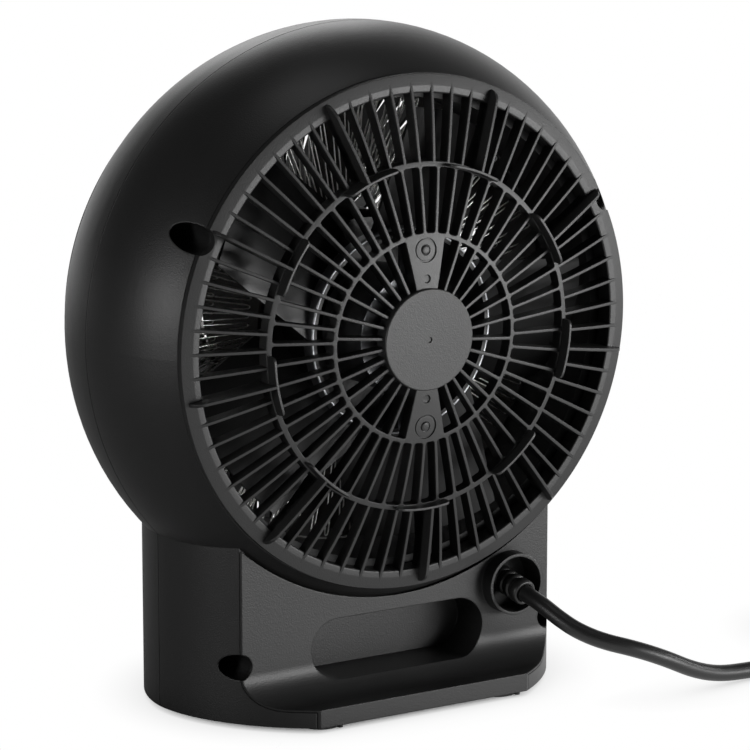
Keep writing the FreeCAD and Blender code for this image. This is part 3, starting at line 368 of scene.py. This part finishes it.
def onGrille(grille, a, b, depth):
    return Vector((-a, grille["side"] * depth + grille["seam"], grille["axisHeight"] + b)) * mm


def bridge(faces, first, second):
    count = len(first)
    for index in range(count):
        after = (index + 1) % count
        faces.append((first[index], first[after], second[after], second[index]))


def cellOutline(inner, outer, start, end, half, corner, runs):
    # one opening between two ribs, counter-clockwise, with its corners rounded
    def corners(angle, sign):
        along = Vector((math.cos(angle), math.sin(angle)))
        aside = Vector((-along.y, along.x)) * sign
        near = along * math.sqrt((inner + corner) ** 2 - (half + corner) ** 2) + aside * (half + corner)
        away = along * math.sqrt((outer - corner) ** 2 - (half + corner) ** 2) + aside * (half + corner)
        return aside, near, away

    def fillet(middle, first, last):
        turned = []
        for share in (0, 0.25, 0.5, 0.75, 1):
            turned.append(middle + (first * (1 - share) + last * share).normalized() * corner)
        return turned

    def arc(first, last, radius):
        begin = math.atan2(first.y, first.x)
        sweep = (math.atan2(last.y, last.x) - begin + math.pi) % (2 * math.pi) - math.pi
        turns = [begin + sweep * (index + 1) / 4 for index in range(3)]
        return [Vector((radius * math.cos(turn), radius * math.sin(turn))) for turn in turns]

    def run(first, last):
        return [first.lerp(last, (index + 1) / (runs + 1)) for index in range(runs)]

    asideA, nearA, awayA = corners(start, 1)
    asideB, nearB, awayB = corners(end, -1)
    loop = run(nearA - asideA * corner, awayA - asideA * corner)
    loop += fillet(awayA, -asideA, awayA.normalized())
    loop += arc(awayA, awayB, outer)
    loop += fillet(awayB, awayB.normalized(), -asideB)
    loop += run(awayB - asideB * corner, nearB - asideB * corner)
    loop += fillet(nearB, -asideB, -nearB.normalized())
    loop += arc(nearB, nearA, inner)
    loop += fillet(nearA, -nearA.normalized(), -asideA)
    return loop


def circle(radius, count, middle=(0, 0)):
    turns = [2 * math.pi * index / count for index in range(count)]
    return [Vector(middle) + radius * Vector((math.cos(turn), math.sin(turn))) for turn in turns]


def insideLoop(point, loop):
    crossed = False
    for here, there in zip(loop, loop[1:] + loop[:1]):
        if (here.y > point.y) != (there.y > point.y):
            if point.x < here.x + (point.y - here.y) / (there.y - here.y) * (there.x - here.x):
                crossed = not crossed
    return crossed


def networkOutlines(grille, narrow):
    # every opening of the two inner zones, and the outer edge, at one level of the rounded crests
    half = grille["ribHalf"] - narrow
    loops = [circle(grille["networkEdge"] - narrow, 260)]
    for zone, (inner, outer) in enumerate(grille["zones"]):
        step = 2 * math.pi / grille["ribs"][zone]
        for index in range(grille["ribs"][zone]):
            start = math.pi / 2 + index * step
            middle = (start + step / 2) % math.pi
            if grille["arms"] and zone == 0 and abs(middle - math.pi / 2) < step:
                continue
            corner = grille["corner"] * (0.6 if zone == 0 else 1) + narrow
            runs = 3 + zone
            loops.append(cellOutline(inner - narrow, outer + narrow, start, start + step, half, corner, runs))
    return loops


def addNetwork(grille, verts, faces):
    buttonSides = 40
    levels = grille["round"] + [(0.0, grille["depth"])]
    outlines = [networkOutlines(grille, narrow) for narrow, depth in levels]
    holes = []
    for button in grille["buttons"]:
        for sign in (-1, 1):
            at = sign * button["at"]
            holes.append((circle(button["rings"][0][0], buttonSides, (0, at)), at, button))
    flat = [loop for loop in outlines[0]] + [loop for loop, at, button in holes]
    points = []
    owner = []
    edges = []
    for number, loop in enumerate(flat):
        first = len(points)
        points += loop
        owner += [number] * len(loop)
        edges += [(first + index, first + (index + 1) % len(loop)) for index in range(len(loop))]
    loose = circle(7, 12) + circle(14, 24) + [Vector((0, 0))]  # inside the hub, so that its dome is round
    points += loose
    owner += [-1] * len(loose)
    found = delaunay_2d_cdt(points, edges, [], 0, 1e-5)
    source = [ids[0] for ids in found[3]]
    triangles = []
    for face in found[2]:
        corners = [source[index] for index in face]
        owners = {owner[index] for index in corners}
        middle = sum((points[index] for index in corners), Vector((0, 0))) / 3
        loopNumber = owner[corners[0]]
        if len(owners) == 1 and loopNumber > 0 and insideLoop(middle, flat[loopNumber]):
            continue
        triangles.append(corners)

    def lay(loop, depth):
        first = len(verts)
        for point in loop:
            verts.append(onGrille(grille, point.x, point.y, domeDepth(grille, point.x, point.y) - depth))
        return list(range(first, first + len(loop)))

    rings = []
    for (narrow, depth), loops in zip(levels, outlines):
        rings.append([lay(loop, depth) for loop in loops])
    top = [index for ring in rings[0] for index in ring]
    bottom = [index for ring in rings[-1] for index in ring]
    for loop, at, button in holes:
        rim = lay(loop, 0)
        floor = lay(loop, grille["depth"])
        top += rim
        bottom += floor
        faces.append(tuple(floor))
        before = rim
        for radius, depth in button["rings"][1:]:
            ring = lay(circle(radius, buttonSides, (0, at)), depth)
            bridge(faces, before, ring)
            before = ring
        faces.append(tuple(before))
    top += lay(loose, 0)
    bottom += lay(loose, grille["depth"])
    for corners in triangles:
        faces.append(tuple(top[index] for index in corners))
        faces.append(tuple(bottom[index] for index in reversed(corners)))
    for upper, lower in zip(rings, rings[1:]):
        for first, second in zip(upper, lower):
            bridge(faces, first, second)


def crestSection(grille, half, crest, floor):
    # cross-section of a rib: up one side, over the rounded crest and down the other
    share = half / grille["ribHalf"]
    left = [(-half, floor)]
    for narrow, depth in reversed(grille["round"]):
        left.append((-half + narrow * share, crest - depth * share))
    return left + [(-aside, height) for aside, height in reversed(left)]


def addBar(grille, verts, faces, turn, radii, half, crestAt, floorAt):
    along = Vector((math.cos(turn), math.sin(turn)))
    aside = Vector((-along.y, along.x))
    before = None
    for radius in radii:
        first = len(verts)
        for off, depth in crestSection(grille, half, crestAt(radius), floorAt(radius)):
            spot = along * radius + aside * off
            verts.append(onGrille(grille, spot.x, spot.y, depth))
        ring = list(range(first, len(verts)))
        if before:
            bridge(faces, before, ring)
        else:
            faces.append(tuple(ring))
        before = ring
    faces.append(tuple(reversed(before)))


def addOuterRibs(grille, verts, faces):
    start = grille["networkEdge"] - grille["ribOverlap"]
    end = grille["ribEnd"]
    radii = [start + (end - start) * index / 9 for index in range(10)]

    def crestAt(radius):
        return domeDepth(grille, radius, 0) + grille["ribRise"] * (radius - start) / (end - start)

    def floorAt(radius):
        return domeDepth(grille, radius, 0) - grille["depth"]

    for index in range(grille["ribs"][2]):
        turn = math.pi / 2 + index * 2 * math.pi / grille["ribs"][2]
        addBar(grille, verts, faces, turn, radii, grille["ribHalf"], crestAt, floorAt)


def addStandOffs(grille, verts, faces):
    ringAt = grille["zones"][1][1] + grille["standOffOut"]
    low = domeDepth(grille, ringAt, 0) - grille["depth"] / 2
    high = domeDepth(grille, ringAt, 0) + grille["standOffHeight"]
    ribStep = 2 * math.pi / grille["ribs"][2]
    spread = math.radians(grille["standOffSpread"])
    bend = grille["standOffRound"]
    endRound = bend / ringAt
    ends = [0.8, 0.9, 0.95, 0.98, 0.995, 1]
    shares = [-share for share in reversed(ends)] + [index / 10 for index in range(-6, 7)] + ends
    for number in range(grille["standOffs"]):
        middle = -math.pi / 2 + number * 2 * math.pi / grille["standOffs"]
        before = None
        for share in shares:
            turn = middle + share * spread
            past = max(0.0, abs(share * spread) - (spread - endRound)) / endRound
            top = high - bend * (1 - math.sqrt(max(0.0, 1 - past * past)))
            first = len(verts)
            for off, depth in crestSection(grille, grille["standOffHalf"], top, low):
                radius = ringAt + off
                verts.append(onGrille(grille, radius * math.cos(turn), radius * math.sin(turn), depth))
            ring = list(range(first, len(verts)))
            if before:
                bridge(faces, before, ring)
            else:
                faces.append(tuple(ring))
            before = ring
        faces.append(tuple(reversed(before)))
        ribTurn = math.pi / 2 + round((middle - math.pi / 2) / ribStep) * ribStep
        addFin(grille, verts, faces, ribTurn, ringAt)


def addFin(grille, verts, faces, turn, ringAt):
    end = grille["finEnd"]
    bend = grille["finRound"]
    radii = [ringAt + (end - bend - ringAt) * index / 6 for index in range(7)]
    radii += [end - bend + bend * math.sin(math.radians(angle)) for angle in (15, 30, 45, 60, 72, 82, 90)]

    def crestAt(radius):
        past = max(0.0, radius - (end - bend)) / bend
        fall = bend * (1 - math.sqrt(max(0.0, 1 - past * past)))
        return domeDepth(grille, radius, 0) + grille["standOffHeight"] - fall

    def floorAt(radius):
        return min(domeDepth(grille, radius, 0) - grille["depth"] / 2, grille["seat"] + grille["finFoot"])

    addBar(grille, verts, faces, turn, radii, grille["ribHalf"], crestAt, floorAt)


def addRing(grille, verts, faces):
    # sloped towards the shell, then a flat land that carries the ribs, then the inner wall
    outer = grille["ringOuter"] - grille["ringGap"]
    seat = grille["seat"]
    inner = grille["ringInner"]
    crest = grille["crest"]
    ridge = grille["ridge"]
    corner = grille["landCorner"]
    edge = seat + grille["ringEdge"]
    bend = grille["edgeRound"]
    profile = [(outer, seat), (outer, edge - bend)]
    profile += [(outer - 0.3 * bend, edge - 0.3 * bend), (outer - bend, edge)]
    profile += [(ridge + bend, crest - 0.2 * bend), (ridge - bend, crest)]
    for angle in range(0, 91, 15):
        turn = math.radians(angle)
        profile.append((inner + corner * (1 - math.sin(turn)), crest - corner * (1 - math.cos(turn))))
    profile += [(inner + out, depth) for out, depth in grille["skirt"]]
    count = 220
    rings = []
    for radius, depth in profile:
        first = len(verts)
        verts += [onGrille(grille, spot.x, spot.y, depth) for spot in circle(radius, count)]
        rings.append(list(range(first, len(verts))))
    for first, second in zip(rings, rings[1:] + rings[:1]):
        bridge(faces, first, second)


def plainMesh(name, verts, faces):
    mesh = bpy.data.meshes.new(name)
    mesh.from_pydata(verts, [], faces)
    form = bmesh.new()
    form.from_mesh(mesh)
    bmesh.ops.recalc_face_normals(form, faces=form.faces)
    form.to_mesh(mesh)
    form.free()
    return mesh


def cutWells(grille, mesh):
    # the shells' screw wells bite into the ring's edge
    ring = bpy.data.objects.new("ringBlank", mesh)
    bpy.context.scene.collection.objects.link(ring)
    cutters = []
    sides = 64
    for a, b in grille["wells"]:
        bores = [(grille["wellRadius"], 30.0, 70.0), (grille["wellFoot"], 30.0, grille["seat"])]
        for radius, low, high in bores:
            verts = []
            for depth in (low, high):
                verts += [onGrille(grille, spot.x, spot.y, depth) for spot in circle(radius, sides, (a, b))]
            lower = list(range(sides))
            upper = list(range(sides, 2 * sides))
            faces = [tuple(lower), tuple(upper)]
            bridge(faces, lower, upper)
            cutter = bpy.data.objects.new("wellCutter", plainMesh("wellCutter", verts, faces))
            bpy.context.scene.collection.objects.link(cutter)
            cut = ring.modifiers.new("well", "BOOLEAN")
            cut.operation = "DIFFERENCE"
            cut.solver = "EXACT"
            cut.object = cutter
            cutters.append(cutter)
    seen = ring.evaluated_get(bpy.context.evaluated_depsgraph_get())
    notched = bpy.data.meshes.new_from_object(seen)
    for spent in [ring] + cutters:
        bpy.data.objects.remove(spent)
    return notched


def newPiece(name, mesh, body, slot, *replaced, smooth=40):
    mesh.shade_smooth()
    mesh.set_sharp_from_angle(angle=math.radians(smooth))
    mesh.materials.clear()
    mesh.materials.append(materials[slot])
    piece = bpy.data.objects.new(name, mesh)
    bpy.context.scene.collection.objects.link(piece)
    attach(piece, body)
    if replaced:
        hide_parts(*replaced)
    return piece


def makeGrille(name, grille, replaced):
    verts, faces = [], []
    addRing(grille, verts, faces)
    ring = plainMesh(name + "Ring", verts, faces)
    if grille["wells"]:
        ring = cutWells(grille, ring)
    verts, faces = [], []
    addNetwork(grille, verts, faces)
    addOuterRibs(grille, verts, faces)
    if grille["standOffs"]:
        addStandOffs(grille, verts, faces)
    lattice = plainMesh(name + "Lattice", verts, faces)
    form = bmesh.new()
    form.from_mesh(lattice)
    form.from_mesh(ring)
    mesh = bpy.data.meshes.new(name)
    form.to_mesh(mesh)
    form.free()
    piece = newPiece(name, mesh, "housing", "grille_plastic", replaced)
    even = piece.modifiers.new("evenNormals", "WEIGHTED_NORMAL")
    even.keep_sharp = True
    return piece


rearGrille = makeGrille("rearGrille", rearSettings, "rear_grille")
frontGrille = makeGrille("frontGrille", frontSettings, "front_grille")
faceCounts = [len(grille.data.polygons) for grille in (rearGrille, frontGrille)]
print("stage: grilles built, faces", faceCounts)


# Turned pieces: the cord's boot and the band round the fan's cup

bootSettings = {
    "knuckle": (-58.33, 45.05, 47.1),
    "droop": 10.0,
    "yaw": 3.0,
    "profile": [
        (-1.5, 5.7), (1.0, 5.7), (1.5, 5.5), (1.8, 4.9), (2.9, 4.9), (3.2, 5.5), (3.7, 5.8), (5.4, 5.8),
        (6.0, 5.55), (6.3, 4.9), (7.5, 4.9), (7.8, 5.5), (8.3, 5.8), (10.0, 5.8), (10.6, 5.55), (10.9, 4.85),
        (12.1, 4.85), (12.4, 5.5), (13.0, 5.85), (15.9, 5.85), (16.8, 5.6), (17.25, 5.1), (17.3, 4.3),
        (16.9, 3.85), (15.5, 3.72),
    ],
}

cupBandSettings = {
    "place": (0.0, 52.75, 168.0),
    "profile": [
        (-7.0, 44.6), (-7.0, 45.25), (-6.7, 45.5), (-0.4, 45.5), (0.1, 45.3), (0.25, 44.9), (0.1, 44.5),
        (-0.4, 44.4),
    ],
}


def turnedMesh(name, place, axis, profile, closed, count=72):
    along = Vector(axis).normalized()
    aside = along.orthogonal().normalized()
    above = along.cross(aside)
    verts, faces, rings = [], [], []
    for reach, radius in profile:
        first = len(verts)
        for spot in circle(radius, count):
            verts.append((Vector(place) + along * reach + aside * spot.x + above * spot.y) * mm)
        rings.append(list(range(first, len(verts))))
    for first, second in zip(rings, rings[1:]):
        bridge(faces, first, second)
    if closed:
        bridge(faces, rings[-1], rings[0])
    return plainMesh(name, verts, faces)


def makeBoot(boot):
    droop = math.radians(boot["droop"])
    yaw = math.radians(boot["yaw"])
    axis = (-math.sin(yaw) * math.cos(droop), math.cos(yaw) * math.cos(droop), -math.sin(droop))
    mesh = turnedMesh("cordBoot", boot["knuckle"], axis, boot["profile"], False)
    return newPiece("cordBoot", mesh, "housing", "boot_rubber", "strain_relief_boot", smooth=50)


def makeCupBand(band):
    mesh = turnedMesh("cupBand", band["place"], (0, 1, 0), band["profile"], True, 96)
    return newPiece("cupBand", mesh, "fan", "motor_steel", smooth=50)


cordBoot = makeBoot(bootSettings)
cupBand = makeCupBand(cupBandSettings)
print("stage: boot and cup band turned")


# Heating wires, strung to and fro between the inner sleeve and the outer band

wireSettings = {
    "axisHeight": 168.0,
    "inner": 52.0,
    "folds": 84,
    "thickness": 0.65,
    "foldRound": 0.9,
    "foldLead": 4,
    "sway": 0.5,  # how far a span bows, so that no two lie quite alike
}


def makeWire(name, node, wire):
    low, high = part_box(node)
    middle = (low[1] + high[1]) / 2 / mm
    outer = (high[0] - low[0]) / 2 / mm - wire["thickness"]
    points = []
    for index in range(2 * wire["folds"]):
        radius, inwards = (outer, -1) if index % 2 else (wire["inner"], 1)
        turn = math.radians(270 + (index + 0.5) * 180.0 / wire["folds"])
        half = wire["foldRound"] / radius
        bow = wire["sway"] * math.sin(index * 2.4)
        lead = wire["foldLead"]
        for off, step in ((-half, lead), (-half, 0), (half, 0), (half, lead)):
            reach = radius + inwards * step
            depth = middle + bow * step / lead
            angle = turn + off
            points.append((reach * math.cos(angle), depth, wire["axisHeight"] + reach * math.sin(angle)))
    data = bpy.data.curves.new(name, "CURVE")
    data.dimensions = "3D"
    data.bevel_depth = wire["thickness"] / 2 * mm
    data.bevel_resolution = 2
    data.use_fill_caps = True
    spline = data.splines.new("NURBS")
    spline.points.add(len(points) - 1)
    for slot, point in zip(spline.points, points):
        slot.co = (*(Vector(point) * mm), 1)
    spline.order_u = 3
    spline.use_endpoint_u = True
    spline.resolution_u = 2
    draft = bpy.data.objects.new(name + "Draft", data)
    bpy.context.scene.collection.objects.link(draft)
    mesh = bpy.data.meshes.new_from_object(draft.evaluated_get(bpy.context.evaluated_depsgraph_get()))
    bpy.data.objects.remove(draft)
    return newPiece(name, mesh, "housing", "heating_alloy", node, smooth=60)


rearWire = makeWire("rearHeatingWire", "rear_heating_ribbon", wireSettings)
frontWire = makeWire("frontHeatingWire", "front_heating_ribbon", wireSettings)
print("stage: heating wires strung,", len(rearWire.data.polygons), "faces each")


# Painted marks: a line on each knob's pointer, and ticks round it on the fascia

markSettings = {
    "proud": 0.06,
    "tick": (18.9, 21.0),  # from and to, out from the knob's middle
    "tickHalf": 0.35,
    "line": (2.5, 9.0),
    "lineHalf": 0.55,
    "dials": {
        "thermostat": range(-135, 136, 27),  # degrees clockwise from the top
        "selector": range(0, 136, 45),
    },
}


def addStrip(verts, faces, middle, face, turn, reach, half, proud):
    angle = math.radians(turn)
    along = Vector((math.sin(angle), 0, math.cos(angle)))
    aside = Vector((math.cos(angle), 0, -math.sin(angle)))
    corners = [(reach[0], -half), (reach[1], -half), (reach[1], half), (reach[0], half)]
    loops = []
    for depth in (face + proud, face - proud):
        loops.append(list(range(len(verts), len(verts) + 4)))
        for out, side in corners:
            verts.append((Vector((middle[0], depth, middle[1])) + along * out + aside * side) * mm)
    bridge(faces, *loops)
    faces.extend(tuple(loop) for loop in loops)


def makeMarks(marks):
    proud = marks["proud"]
    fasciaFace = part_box("control_fascia")[0][1] / mm
    for dial, turns in marks["dials"].items():
        low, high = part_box(dial + "_knob")
        middle = ((low[0] + high[0]) / 2 / mm, (low[2] + high[2]) / 2 / mm)
        verts, faces = [], []
        for turn in turns:
            addStrip(verts, faces, middle, fasciaFace, turn, marks["tick"], marks["tickHalf"], proud)
        ticksMesh = plainMesh(dial + "Ticks", verts, faces)
        ticks = newPiece(dial + "Ticks", ticksMesh, "housing", "fascia_plastic")
        verts, faces = [], []
        addStrip(verts, faces, middle, low[1] / mm, 0, marks["line"], marks["lineHalf"], proud)
        line = newPiece(dial + "Line", plainMesh(dial + "Line", verts, faces), dial, "knob_plastic")
        for painted in (ticks, line):
            painted.data.materials[0] = materials["mark_paint"]


makeMarks(markSettings)
print("stage: dials marked")


# Mains cord: the model's own route, in millimetres

cordSettings = {
    "diameter": 7.4,
    "length": 1514.0,
    "lead": [
        (-59.22, 62.06, 44.10), (-59.53, 67.96, 43.05), (-60.5, 74.45, 41.2), (-62.9, 82.15, 37.3),
        (-67.6, 90.35, 32.5), (-75.8, 98.55, 28.3), (-88.6, 105.45, 24.6), (-103.5, 107.95, 18.5),
        (-119.2, 106.95, 10.6), (-135.0, 104.95, 5.6), (-153.0, 103.35, 4.2), (-171.0, 102.75, 3.9),
        (-189.0, 103.25, 4.0), (-207.0, 104.95, 4.5), (-222.43, 107.52, 5.2),
    ],
    "coilJoin": (-238.0, 111.25, 5.2),
    "coilOuter": 48.0,
    "coilStart": 75.0,  # degrees
    "coilTurns": 2.375,  # in each of the two layers
    "coilClimb": 0.5,
    "coilPitch": 8.2,
    "pointsPerTurn": 36,
    "tail": [
        (-300.77, 63.90, 13.4), (-306.4, 49.05, 11.2), (-309.4, 35.25, 8.4),
        (-310.9, 22.25, 7.2), (-311.4, 10.25, 7.2),
    ],
}


def coilPoint(cord, turn):
    inner = cord["coilOuter"] - cord["coilTurns"] * cord["coilPitch"]
    start = math.radians(cord["coilStart"])
    past = turn - cord["coilTurns"]
    if past <= 0:
        radius = inner - cord["coilPitch"] * past
        rise = 0
    elif past <= cord["coilClimb"]:
        share = past / cord["coilClimb"]
        radius = inner - cord["coilPitch"] * past * (1 - share)
        rise = share - math.sin(2 * math.pi * share) / (2 * math.pi)
    else:
        radius = inner + cord["coilPitch"] * (past - cord["coilClimb"])
        rise = 1
    angle = start + 2 * math.pi * turn
    centre = Vector(cord["coilJoin"]) - Vector((math.cos(start), math.sin(start), 0)) * cord["coilOuter"]
    return centre + Vector((radius * math.cos(angle), radius * math.sin(angle), cord["coilPitch"] * rise))


def makeCord(cord):
    total = 2 * cord["coilTurns"] + cord["coilClimb"]
    steps = int(round(total * cord["pointsPerTurn"]))
    points = [Vector(point) for point in cord["lead"]]
    points += [coilPoint(cord, total * index / steps) for index in range(steps + 1)]
    points += [Vector(point) for point in cord["tail"]]
    data = bpy.data.curves.new("mainsCord", "CURVE")
    data.dimensions = "3D"
    data.bevel_depth = cord["diameter"] / 2 * mm
    data.bevel_resolution = 8
    data.use_fill_caps = True
    spline = data.splines.new("NURBS")
    spline.points.add(len(points) - 1)
    for slot, point in zip(spline.points, points):
        slot.co = (*(point * mm), 1)
    spline.order_u = 3
    spline.use_endpoint_u = True
    spline.resolution_u = 5
    piece = bpy.data.objects.new("mainsCord", data)
    bpy.context.scene.collection.objects.link(piece)
    data.materials.append(materials["cord_sheath"])
    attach(piece, "housing")
    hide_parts("cord_lead", "cord_coil", "cord_tail")
    return piece


mainsCord = makeCord(cordSettings)
print("stage: cord laid")


# Floor, surround and lights

studioSettings = {
    "floorReach": 12.0,
    "floorTint": 0.5,
    "contactReach": 0.025,  # how far the painted soft shadow at the feet goes
    "contactDepth": 0.26,
    "dimRoom": 0.05,
    "backdropFrom": 0.55,  # the white backdrop stands behind the object, as seen by glossy surfaces
    "backdropFull": 0.9,
    "floorBehind": (0.6, 1.5),  # m, where the floor's white starts to show in glossy surfaces, and is full
    "floorBeside": (-0.03, 0.1),
    "besideTurn": 78,  # degrees from the camera towards the picture's right
    "aim": (0, 0.03, 0.15),  # m, what the lamps are turned to
}


def highest(tree, first, *others):
    for other in others:
        first = addNode(tree, "Math", {0: first, 1: other}, operation="MAXIMUM").outputs[0]
    return first


def outwards(turn):
    # level, counted in degrees from the camera towards the picture's right
    angle = math.radians(turn)
    return Vector((back.x, back.y, 0)).normalized() * math.cos(angle) + right * math.sin(angle)


def whiteFrom(tree, place, way, start, full):
    facing = addNode(tree, "VectorMath", {0: place, 1: way}, operation="DOT_PRODUCT")
    span = {"Value": facing.outputs["Value"], "From Min": start, "From Max": full}
    return addNode(tree, "MapRange", span, interpolation_type="SMOOTHSTEP").outputs["Result"]


def makeFloor(studio):
    mesh = bpy.data.meshes.new("studioFloor")
    reach = studio["floorReach"]
    corners = [(-reach, -reach, 0), (reach, -reach, 0), (reach, reach, 0), (-reach, reach, 0)]
    mesh.from_pydata(corners, [], [(0, 1, 2, 3)])
    floor = bpy.data.objects.new("studioFloor", mesh)
    bpy.context.scene.collection.objects.link(floor)
    material, tree, shader = newMaterial("paleFloor")
    shader.inputs["Base Color"].default_value = grey(studio["floorTint"])
    shader.inputs["Roughness"].default_value = 0.8
    # painted contact shadow: ambient occlusion darkens the floor's white glow near the object
    shade = addNode(tree, "AmbientOcclusion", {"Distance": studio["contactReach"]})
    soft = addNode(tree, "Math", {0: shade.outputs["AO"], 1: studio["contactDepth"]}, operation="POWER")
    shadowedGlow = addNode(tree, "Emission", {"Color": soft.outputs[0], "Strength": 1.0})
    path = addNode(tree, "LightPath").outputs
    place = addNode(tree, "TexCoord").outputs["Object"]
    behind = whiteFrom(tree, place, -back, *studio["floorBehind"])
    beside = whiteFrom(tree, place, outwards(studio["besideTurn"]), *studio["floorBeside"])
    pale = highest(tree, behind, beside)
    mirrored = addNode(tree, "Math", {0: pale, 1: path["Is Glossy Ray"]}, operation="MULTIPLY")
    seen = highest(tree, path["Is Camera Ray"], path["Is Transmission Ray"], mirrored.outputs[0])
    mix = addNode(tree, "MixShader", {0: seen, 1: shader.outputs[0], 2: shadowedGlow.outputs[0]})
    leave = next(node for node in tree.nodes if node.type == "OUTPUT_MATERIAL")
    tree.links.new(mix.outputs[0], leave.inputs["Surface"])
    mesh.materials.append(material)


def makeWorld(studio):
    world = bpy.data.worlds.new("studio")
    bpy.context.scene.world = world
    world.use_nodes = True
    tree = world.node_tree
    tree.nodes.clear()
    path = addNode(tree, "LightPath").outputs
    place = addNode(tree, "TexCoord").outputs["Generated"]
    backdrop = whiteFrom(tree, place, -back, studio["backdropFrom"], studio["backdropFull"])
    mirrored = addNode(tree, "Math", {0: backdrop, 1: path["Is Glossy Ray"]}, operation="MULTIPLY")
    seen = highest(tree, path["Is Camera Ray"], path["Is Transmission Ray"], mirrored.outputs[0])
    dim = addNode(tree, "Background", {"Color": grey(studio["dimRoom"]), "Strength": 1.0})
    white = addNode(tree, "Background", {"Color": grey(1.0), "Strength": 1.0})
    mix = addNode(tree, "MixShader", {0: seen, 1: dim.outputs[0], 2: white.outputs[0]})
    leave = addNode(tree, "OutputWorld")
    tree.links.new(mix.outputs[0], leave.inputs["Surface"])


# turn counts from the camera towards the picture's right, in degrees
lightSettings = {
    "key": {"turn": 73, "reach": 1.7, "height": 0.17, "size": (0.9, 0.33), "power": 17},
    "fill": {"turn": 58, "reach": 1.7, "height": 0.1, "size": (0.5, 0.2), "power": 4},
    "left": {"turn": -51, "reach": 1.7, "height": 0.36, "size": (0.55, 0.5), "power": 7.2},
    "rim": {"turn": -170, "reach": 1.7, "height": 1.0, "size": (0.8, 0.8), "power": 4},
    "front": {"turn": 180, "reach": 1.7, "height": 0.5, "size": (1.2, 0.8), "power": 10, "matt": True},
    "high": {"turn": 109, "reach": 1.7, "height": 0.58, "size": (0.45, 0.35), "power": 5},
    "top": {"turn": 0, "reach": 0.01, "height": 2.0, "size": (0.8, 0.8), "power": 2.5},
}


def makeLight(name, light):
    data = bpy.data.lights.new(name, "AREA")
    data.shape = "RECTANGLE"
    data.size, data.size_y = light["size"]
    data.energy = light["power"]
    lamp = bpy.data.objects.new(name, data)
    aim = Vector(studioSettings["aim"])
    lamp.location = Vector((aim.x, aim.y, light["height"])) + outwards(light["turn"]) * light["reach"]
    lamp.rotation_euler = (aim - lamp.location).to_track_quat("-Z", "Y").to_euler()
    lamp.visible_camera = False
    lamp.visible_glossy = not light.get("matt", False)
    bpy.context.scene.collection.objects.link(lamp)


makeFloor(studioSettings)
makeWorld(studioSettings)
for name, light in lightSettings.items():
    makeLight(name, light)
bpy.context.scene.view_settings.view_transform = "Standard"
print("stage: lights and floor")
